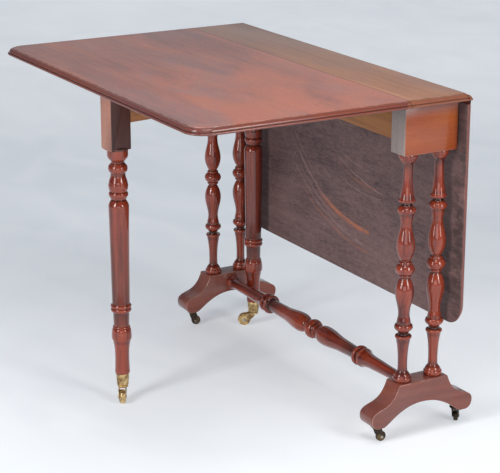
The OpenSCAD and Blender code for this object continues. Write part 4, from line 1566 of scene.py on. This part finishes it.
GATE_LEG = Turning(
    15.2,
    (
        Stretch(Cut.BEAD, 7, 16, 0.6),
        Stretch(Cut.LINE, 25, 15.3),
        Stretch(Cut.FLARE, 46, 20.2, 3),
        Stretch(Cut.BEAD, 26, 18.4, 2.2),
        Stretch(Cut.LINE, 0.6, 17.4),
        Stretch(Cut.BEAD, 4, 17.2, 1.5),
        Stretch(Cut.LINE, 0.6, 16.6),
        Stretch(Cut.LINE, 30.8, 17.6),
        Stretch(Cut.LINE, 1.5, 19.2),
        Stretch(Cut.BEAD, 8.5, 19.2, 3),
        Stretch(Cut.BEAD, 8.5, 19.2, 3.2),
        Stretch(Cut.LINE, 1.5, 18.7),
        Stretch(Cut.LINE, 188, 21.3),
        Stretch(Cut.LINE, 27, 21.9),
        Stretch(Cut.FLARE, 16, 14.6, 2),
        Stretch(Cut.LINE, 1.5, 17),
        Stretch(Cut.OGEE, 4.5, 18.4),
        Stretch(Cut.BEAD, 10, 18.4, 2.3),
        Stretch(Cut.LINE, 0.8, 17.4),
        Stretch(Cut.BEAD, 17.2, 20.2, 1.8),
        Stretch(Cut.OGEE, 20, 15.8),
        Stretch(Cut.LINE, 3.5, 16.1),
        Stretch(Cut.LINE, 2.5, 17.4),
        Stretch(Cut.BEAD, 15, 17.2, 3.3),
        Stretch(Cut.OGEE, 5, 14.1),
        Stretch(Cut.OGEE, 13, 21.4),
        Stretch(Cut.LINE, 0.8, 22.2),
        Stretch(Cut.LINE, 13.7, 22.2),
    ),
)
STRETCHER_HALF = Turning(
    22.4,
    (
        Stretch(Cut.FLARE, 9, 19.4, 2),
        Stretch(Cut.LINE, 0.8, 15.4),
        Stretch(Cut.BEAD, 5.2, 14.2, -1.4),
        Stretch(Cut.BEAD, 5, 14.2, 2.6),
        Stretch(Cut.BEAD, 6, 14.6, -1.6),
        Stretch(Cut.DOME, 27, 22, 2),
        Stretch(Cut.OGEE, 73, 15.8),
        Stretch(Cut.LINE, 58, 13.8),
        Stretch(Cut.LINE, 0.8, 18.4),
        Stretch(Cut.BEAD, 9.2, 18.4, 4),
        Stretch(Cut.LINE, 0.8, 15.8),
        Stretch(Cut.BEAD, 6.4, 16, -1),
        Stretch(Cut.LINE, 0.8, 18.6),
        Stretch(Cut.BEAD, 7.5, 20, 1.9),
        Stretch(Cut.DOME, 42, 14.6, 2.4),
        Stretch(Cut.LINE, 50, 12.5),
        Stretch(Cut.LINE, 58, 11.8),
        Stretch(Cut.OGEE, 7, 14.6),
        Stretch(Cut.BEAD, 12, 14.6, 1.6),
    ),
)
ARRIS = 0.35 * MM


@dataclass
class EndFrame:
    """One end of the table: a square block, twin turned columns and an arched foot."""

    end: End
    palette: Palette
    tenon_r: float = 8 * MM
    tenon_l: float = 24 * MM
    foot_t: float = 48 * MM
    foot_span: float = 250 * MM
    foot_top: float = 122 * MM
    foot_flat: float = 120 * MM
    toe_z: float = 36.5 * MM
    arch_z: float = 76 * MM

    def build(self) -> None:
        """Makes the block, the columns and the foot."""
        self._block()
        for side in Side:
            self._column(side)
        self._foot()

    def _block(self) -> None:
        """The end block, bored from below for the screw that holds the top."""
        node = f"{self.end.word}_end_block"
        low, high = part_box(node)
        bm = block(tuple(low), tuple(high))
        ease_arrises(bm, 0.9 * MM, 3)
        x, y = (low.x + high.x) / 2, (low.y + high.y) / 2
        bore = spun([(0, 0), (4.6 * MM, 0), (4.6 * MM, 85 * MM), (0, 85 * MM)], 32, False)
        bmesh.ops.translate(bore, vec=(x, y, low.z - 1 * MM), verts=bore.verts)
        bm = combine(bm, [bore], "DIFFERENCE", "block_work")
        mesh = mesh_of(bm, node)
        # Painted sheen: the flats facing -Y take the pale grey finish.
        second_finish(mesh, Vector((0, -1, 0)), 0.0, 1)
        mark_arrises(mesh)
        lay_grain(mesh, Along.Y, 2.3 * self.end.value)
        set_piece(mesh, f"{self.end.word}_top_block", "frame", [node],
                  [self.palette.block, self.palette.block_side])

    def _column(self, side: Side) -> None:
        """One turned column: the same half up and down from the bobbin in its middle."""
        node = f"{self.end.word}_{side.word}_column"
        low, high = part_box(node)
        bottom = low.z + self.tenon_l
        length = high.z - low.z - 2 * self.tenon_l
        half = COLUMN_HALF.outline(length / 2)
        whole = [*half, *[(r, length - z) for r, z in reversed(half[:-1])]]
        whole = soften([(self.tenon_r, 0.0), *whole, (self.tenon_r, length)], ARRIS)
        ends = [(0, -self.tenon_l), (self.tenon_r, -self.tenon_l)]
        top = length + self.tenon_l
        bm = spun([*ends, *whole, (self.tenon_r, top), (0, top)], TURNED_FACETS)
        x, y = (low.x + high.x) / 2, (low.y + high.y) / 2
        bmesh.ops.translate(bm, vec=(x, y, bottom), verts=bm.verts)
        mesh = mesh_of(bm, node)
        lay_grain(mesh, Along.Z, 4.1 + self.end.value * 1.3 + side.value * 0.6)
        name = f"{self.end.word}_{side.word}_turned_column"
        set_piece(mesh, name, "frame", [node], [self.palette.turned])

    def _foot(self) -> None:
        """The foot: its outline sawn from a thick plank, its long edges eased."""
        node = f"{self.end.word}_foot"
        low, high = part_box(node)
        top, tip, toe, z = self.foot_flat / 2, self.foot_span / 2, self.toe_z, self.foot_top
        knee = (tip - 32 * MM, toe + 44 * MM)
        nose = (tip, toe + 20 * MM)
        sole = (tip - 18 * MM, toe)
        heel = (tip - 30 * MM, toe)
        curves = [
            [(top, z), (top + 7 * MM, z - 22 * MM), (top + 17 * MM, knee[1] + 7 * MM), knee],
            [knee, (knee[0] + 15 * MM, knee[1] - 6 * MM), (tip, nose[1] + 16 * MM), nose],
            [nose, (tip, nose[1] - 12 * MM), (sole[0] + 11 * MM, toe), sole],
            [heel, (heel[0] - 18 * MM, toe + 8 * MM), (tip * 0.42, self.arch_z), (0.0, self.arch_z)],
        ]
        half: list[Point2] = [(0.0, z), (top, z)]
        for curve in curves[:3]:
            half += bezier(curve, 20)
        half += [heel, *bezier(curves[3], 28)]
        outline = [*half, *[(-y, h) for y, h in reversed(half[1:-1])]]
        middle = (low.y + high.y) / 2
        bm = prism([(low.x, middle + y, h) for y, h in outline], Vector((self.foot_t, 0, 0)))
        ease_arrises(bm, 1.3 * MM, 3, 60)
        mesh = mesh_of(bm, node)
        mark_arrises(mesh, Vector((1, 0, 0)))
        lay_grain(mesh, Along.Y, 6.6 + self.end.value)
        name = f"{self.end.word}_arched_foot"
        set_piece(mesh, name, "frame", [node], [self.palette.foot])


@dataclass
class LongStretcher:
    """The turned stretcher between the feet."""

    palette: Palette
    tenon_r: float = 7 * MM
    tenon_l: float = 20 * MM

    def build(self) -> None:
        """Makes the stretcher, the same both ways from its middle bead."""
        low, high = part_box("stretcher")
        half_l = (high.x - low.x) / 2 - self.tenon_l
        half = STRETCHER_HALF.outline(half_l)
        whole = [*[(r, -z) for r, z in reversed(half[1:])], *half]
        whole = soften([(self.tenon_r, -half_l), *whole, (self.tenon_r, half_l)], ARRIS)
        far = half_l + self.tenon_l
        bm = spun([(0, -far), (self.tenon_r, -far), *whole, (self.tenon_r, far), (0, far)], TURNED_FACETS)
        place = Matrix.Translation(((low.x + high.x) / 2, (low.y + high.y) / 2, (low.z + high.z) / 2))
        bmesh.ops.transform(bm, matrix=place @ Matrix.Rotation(math.pi / 2, 4, "Y"), verts=bm.verts)
        mesh = mesh_of(bm, "stretcher")
        lay_grain(mesh, Along.X, 9.4)
        set_piece(mesh, "turned_stretcher", "frame", ["stretcher"], [self.palette.turned])


@dataclass
class Rails:
    """The centre rail and the two fixed knuckle rails beside it."""

    palette: Palette
    ease: float = 0.5 * MM

    def build(self) -> None:
        """Makes the three rails from their own drawn shapes, with eased arrises."""
        for i, node in enumerate(("centre_rail", "front_knuckle_rail", "rear_knuckle_rail")):
            bm = merged_copy(node)
            ease_arrises(bm, self.ease)
            mesh = mesh_of(bm, node)
            lay_grain(mesh, Along.X, 1.9 + i * 2.2)
            name = node.replace("rail", "bar")
            set_piece(mesh, name, "frame", [node], [self.palette.rail])


@dataclass
class Gate:
    """One gate: its fly rail on wooden knuckles and its turned leg under a square block."""

    side: Side
    palette: Palette
    socket_top: float = 62 * MM
    spigot_low: float = 38 * MM
    spigot_r: float = 11 * MM
    block_w: float = 48 * MM
    block_inner: float = 16 * MM
    block_outer: float = 24 * MM
    block_z: float = 561 * MM
    block_top: float = 705.7 * MM

    def build(self) -> None:
        """Makes the fly rail and the leg."""
        self._fly_rail()
        self._leg()

    def _fly_rail(self) -> None:
        """The rail that swings, from its own drawn shape with eased arrises."""
        node = f"{self.side.word}_fly_rail"
        bm = merged_copy(node)
        ease_arrises(bm, 0.5 * MM)
        mesh = mesh_of(bm, node)
        lay_grain(mesh, Along.X, 7.7 + self.side.value, PLACES.gate(self.side).inverted())
        name = f"{self.side.word}_swinging_bar"
        set_piece(mesh, name, f"{self.side.word}_gate", [node], [self.palette.rail])

    def _shoulder(self) -> bmesh.types.BMesh:
        """The round that the lathe leaves where the square block runs down into the turning."""
        low_r = self.block_w / 2 - 2.5 * MM
        reach = self.block_w * 0.75
        drop = 7 * MM
        rounding = bezier([(low_r, 0), (low_r + 6 * MM, 0), (reach, drop * 0.4), (reach, drop)], 14)
        tall = self.block_top - self.block_z + 5 * MM
        bm = spun([(0, 0), (low_r, 0), *rounding, (reach, tall), (0, tall)], TURNED_FACETS, False)
        bmesh.ops.translate(bm, vec=(0, 0, self.block_z), verts=bm.verts)
        return bm

    def _leg(self) -> None:
        """The leg: turned below, square above, with a spigot inside the caster's cup."""
        node = f"{self.side.word}_gate_leg"
        square = block(
            (-self.block_w / 2, -self.block_outer, self.block_z),
            (self.block_w / 2, self.block_inner, self.block_top),
        )
        ease_arrises(square, 0.8 * MM, 3)
        square = combine(square, [self._shoulder()], "INTERSECT", "shoulder_work")
        length = self.block_z - self.socket_top
        turned = [(r, z + self.socket_top) for r, z in GATE_LEG.outline(length)]
        turned = soften([(self.spigot_r, self.socket_top), *turned], ARRIS)
        into = self.block_z + 4 * MM
        spigot = [(0, self.spigot_low), (self.spigot_r, self.spigot_low)]
        outline = [*spigot, *turned, (turned[-1][0], into), (0, into)]
        whole = combine(spun(outline, TURNED_FACETS), [square], "UNION", "leg_work")
        bmesh.ops.transform(whole, matrix=PLACES.gate_leg(self.side), verts=whole.verts)
        back = PLACES.gate_leg(self.side).inverted()
        # Painted shade: the square block takes the dark finish; painted light: its flats facing -Y take the
        # pale one.
        for face in whole.faces:
            spot = back @ face.calc_center_median()
            face.material_index = 1 if spot.z > self.block_z + 1 * MM else 0
        mesh = mesh_of(whole, node)
        second_finish(mesh, Vector((0, -1, 0)), self.block_z, 2)
        lay_grain(mesh, Along.Z, 11.2 + self.side.value * 2, back)
        name = f"{self.side.word}_turned_leg"
        set_piece(
            mesh, name, f"{self.side.word}_gate", [node],
            [self.palette.turned, self.palette.gate_block, self.palette.gate_face],
        )


# ---- casters ----------------------------------------------------------------------------------


@dataclass(frozen=True)
class WheelShape:
    """A cast wheel: a rounded tread, dished cheeks and a boss round the axle."""

    diameter: float
    width: float
    bore: float

    def outline(self) -> list[Point2]:
        """Its section, from the bore outward and back."""
        r, w = self.diameter / 2, self.width / 2
        rim = self.width * 0.22
        boss = self.bore * 2.1
        lip = r * 0.82
        dish = self.width * 0.11
        side = [
            (self.bore, w - 0.2 * MM), (self.bore + 0.2 * MM, w), (boss, w), (boss + dish, w - dish),
            (lip - dish, w - dish), (lip, w),
        ]
        side += arc((r - rim, w - rim), rim, 90, 0, 8)
        return [*[(a, -b) for a, b in side], *reversed(side), (self.bore, -w + 0.2 * MM)]


def across(bm: bmesh.types.BMesh, node: str) -> None:
    """Lays a solid spun on the Z axis along a wheel's own axle, which lies level."""
    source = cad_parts[node].data
    low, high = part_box(node)
    middle = (low + high) / 2
    wide = max((v.co for v in source.vertices), key=lambda p: abs(p.z - middle.z))
    tops = [v.co - middle for v in source.vertices if abs(v.co.z - wide.z) < 0.05 * MM]
    way = max(tops, key=lambda p: Vector((p.x, p.y)).length)
    flat = Vector((way.x, way.y, 0)).normalized()
    turn = Vector((0, 0, 1)).rotation_difference(flat).to_matrix().to_4x4()
    bmesh.ops.transform(bm, matrix=Matrix.Translation(middle) @ turn, verts=bm.verts)


@dataclass
class Caster:
    """One swivelling caster: what fixes it, the horn that turns, its axle and its wheel."""

    node: str
    carrier: str
    finish: bpy.types.Material
    slot: str
    wheel: WheelShape

    def build(self, steel: bpy.types.Material) -> None:
        """Makes the horn and the wheel, and dresses the axle.

        Args:
            steel: The axle's finish.
        """
        horn = merged_copy(f"{self.node}_horn")
        ease_arrises(horn, 0.3 * MM, 2, 50)
        mesh = mesh_of(horn, f"{self.node}_horn")
        set_piece(mesh, f"{self.node}_fork", self.node, [f"{self.node}_horn"], [self.finish])
        wheel = spun(soften(self.wheel.outline(), 0.3 * MM), 72, False)
        across(wheel, f"{self.node}_wheel")
        mesh = mesh_of(wheel, f"{self.node}_wheel")
        wheel_body = self.node.replace("_caster", "_wheel")
        set_piece(mesh, f"{self.node}_roller", wheel_body, [f"{self.node}_wheel"], [self.finish])
        dress_nodes([f"{self.node}_axle"], steel)


@dataclass
class GateCaster(Caster):
    """A caster whose cup takes the foot of a gate leg."""

    cup_r: float = 14 * MM
    cup_floor: float = 34 * MM
    cup_top: float = 62 * MM
    stem_r: float = 3 * MM

    def build_cup(self) -> None:
        """The brass cup: a tapered thimble with a rolled lip, and its riveted stem below."""
        node = f"{self.node}_socket"
        low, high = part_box(node)
        rivet_r, inner = self.stem_r * 1.6, 11.1 * MM
        lip = self.cup_r + 0.7 * MM
        points = [
            (0, low.z), (rivet_r - 0.5 * MM, low.z), (rivet_r, low.z + 0.6 * MM), (rivet_r, low.z + 1.4 * MM),
            (self.stem_r, low.z + 1.4 * MM), (self.stem_r, self.cup_floor),
            (self.cup_r - 3.2 * MM, self.cup_floor),
            (self.cup_r - 1.6 * MM, self.cup_floor + 1.6 * MM), (self.cup_r, self.cup_top - 3.6 * MM),
            *arc((self.cup_r - 0.8 * MM, self.cup_top - 1.5 * MM), 1.5 * MM, -75, 75, 10),
            (inner, self.cup_top), (inner, self.cup_floor + 4 * MM), (0, self.cup_floor + 4 * MM),
        ]
        points = [(min(r, lip), z) for r, z in points]
        bm = spun(soften(points, 0.25 * MM), 96, False)
        middle = (low + high) / 2
        bmesh.ops.translate(bm, vec=(middle.x, middle.y, 0), verts=bm.verts)
        mesh = mesh_of(bm, node)
        set_piece(mesh, f"{self.node}_cup", self.carrier, [node], [self.finish])


@dataclass
class FootCaster(Caster):
    """A small caster on a round plate screwed beneath a toe."""

    def build_plate(self) -> None:
        """The plate as drawn, its rim and screw holes eased."""
        node = f"{self.node}_plate"
        bm = merged_copy(node)
        ease_arrises(bm, 0.2 * MM, 2, 50)
        mesh = mesh_of(bm, node)
        set_piece(mesh, f"{self.node}_base", self.carrier, [node], [self.finish])


@dataclass
class SmallMetal:
    """Hinges, pins and screws, shown as they are drawn."""

    palette: Palette

    def build(self) -> None:
        """Dresses them."""
        plates = [f"{s.word}_hinge_{part}_plates" for s in Side for part in ("table", "leaf")]
        dress_nodes(plates, self.palette.hinge)
        pins = [f"{s.word}_{pin}" for s in Side for pin in ("hinge_pins", "knuckle_pin", "leaf_screws")]
        screws = ["hinge_table_screws", "top_fixing_screws", "knuckle_rail_screws", "caster_plate_screws"]
        dress_nodes([*pins, *screws], self.palette.steel)


# ---- studio -----------------------------------------------------------------------------------


@dataclass(frozen=True)
class SoftBox:
    """A large soft lamp."""

    name: str
    at: Point3
    aim: Point3
    size: Point2
    power: float
    colour: Colour

    def light(self) -> None:
        """Hangs the lamp."""
        lamp = bpy.data.lights.new(self.name, "AREA")
        lamp.shape = "RECTANGLE"
        lamp.size, lamp.size_y = self.size
        lamp.energy = self.power
        lamp.color = self.colour
        holder = bpy.data.objects.new(self.name, lamp)
        holder.location = self.at
        way = Vector(self.aim) - Vector(self.at)
        holder.rotation_euler = way.to_track_quat("-Z", "Y").to_euler()
        holder.visible_camera = False
        bpy.context.scene.collection.objects.link(holder)


@dataclass(frozen=True)
class Studio:
    """A pale room: floor, sky light, lamps and camera."""

    eye: Point3 = (3.12137, -1.74536, 1.46097)
    aim: Point3 = (-0.0013, 0.04315, 0.3416)
    lens_mm: float = 124.84
    sensor_mm: float = 36.0
    sight_end: float = 80.0
    floor_reach: float = 15.0
    sky: Colour = (0.80, 0.87, 0.95)
    sky_strength: float = 0.20

    def build(self) -> None:
        """Sets everything up."""
        self._floor()
        self._sky()
        room: Point3 = (0.0, 0.1, 0.4)
        warm: Colour = (1.0, 0.985, 0.96)
        cool: Colour = (0.94, 0.975, 1.0)
        for lamp in (
            SoftBox("left_softbox", (0.8, -3.0, 2.3), room, (0.9, 1.4), 36.0, warm),
            SoftBox("left_low_softbox", (0.8, -3.0, 1.3), room, (0.9, 1.4), 30.0, warm),
            SoftBox("right_softbox", (3.2, 1.0, 2.1), room, (0.9, 1.4), 36.0, warm),
            SoftBox("right_low_softbox", (3.2, 1.0, 1.2), room, (0.9, 1.4), 18.0, warm),
            SoftBox("front_fill", (3.4, -1.9, 0.9), (0, 0.1, 0.1), (2.5, 1.2), 20.0, cool),
            SoftBox("far_overhead", (-3.5, 2.2, 4.0), (-3.5, 2.2, 0), (5.0, 5.0), 30.0, cool),
            SoftBox("far_card", (-5.2, 3.4, 2.2), (-0.5, 0.4, 0.3), (5.0, 3.0), 9.0, cool),
            SoftBox("top_lamp", (0.85, -0.25, 2.0), (0.25, 0.0, 0.7), (0.8, 0.8), 12.0, warm),
        ):
            lamp.light()
        self._camera()
        bpy.context.scene.view_settings.view_transform = "Standard"

    def _floor(self) -> None:
        """A wide level floor."""
        bm = bmesh.new()
        bmesh.ops.create_grid(bm, x_segments=8, y_segments=8, size=self.floor_reach)
        mesh = bpy.data.meshes.new("floor")
        bm.to_mesh(mesh)
        bm.free()
        mesh.materials.append(FloorCover().make())
        floor = bpy.data.objects.new("floor", mesh)
        bpy.context.scene.collection.objects.link(floor)

    def _sky(self) -> None:
        """An even pale light from all round."""
        world = bpy.data.worlds.new("pale_room")
        world.use_nodes = True
        back = world.node_tree.nodes["Background"]
        back.inputs["Color"].default_value = (*self.sky, 1.0)
        back.inputs["Strength"].default_value = self.sky_strength
        bpy.context.scene.world = world

    def _camera(self) -> None:
        """A long lens above the table, looking down at it."""
        camera = bpy.data.cameras.new("camera")
        camera.lens = self.lens_mm
        camera.sensor_width = self.sensor_mm
        camera.clip_end = self.sight_end
        holder = bpy.data.objects.new("camera", camera)
        holder.location = self.eye
        way = Vector(self.aim) - Vector(self.eye)
        holder.rotation_euler = way.to_track_quat("-Z", "Y").to_euler()
        bpy.context.scene.collection.objects.link(holder)
        bpy.context.scene.camera = holder


def main() -> None:
    """Builds the table's looks in order."""
    logging.basicConfig(level=logging.INFO, format="%(name)s: %(message)s")
    palette = Palette()
    TableTop(palette).build()
    for end in End:
        EndFrame(end, palette).build()
    LongStretcher(palette).build()
    Rails(palette).build()
    gate_wheel = WheelShape(30.4 * MM, 11.5 * MM, 2.25 * MM)
    foot_wheel = WheelShape(21.5 * MM, 9.0 * MM, 1.65 * MM)
    for side in Side:
        Gate(side, palette).build()
        caster = GateCaster(
            f"{side.word}_gate_caster", f"{side.word}_gate", palette.gate_brass, "caster_brass", gate_wheel
        )
        caster.build_cup()
        caster.build(palette.steel)
        for end in End:
            small = FootCaster(
                f"{end.word}_{side.word}_caster", "frame", palette.foot_brass, "dark_brass", foot_wheel
            )
            small.build_plate()
            small.build(palette.steel)
    SmallMetal(palette).build()
    Studio().build()


if __name__ == "__main__":
    main()
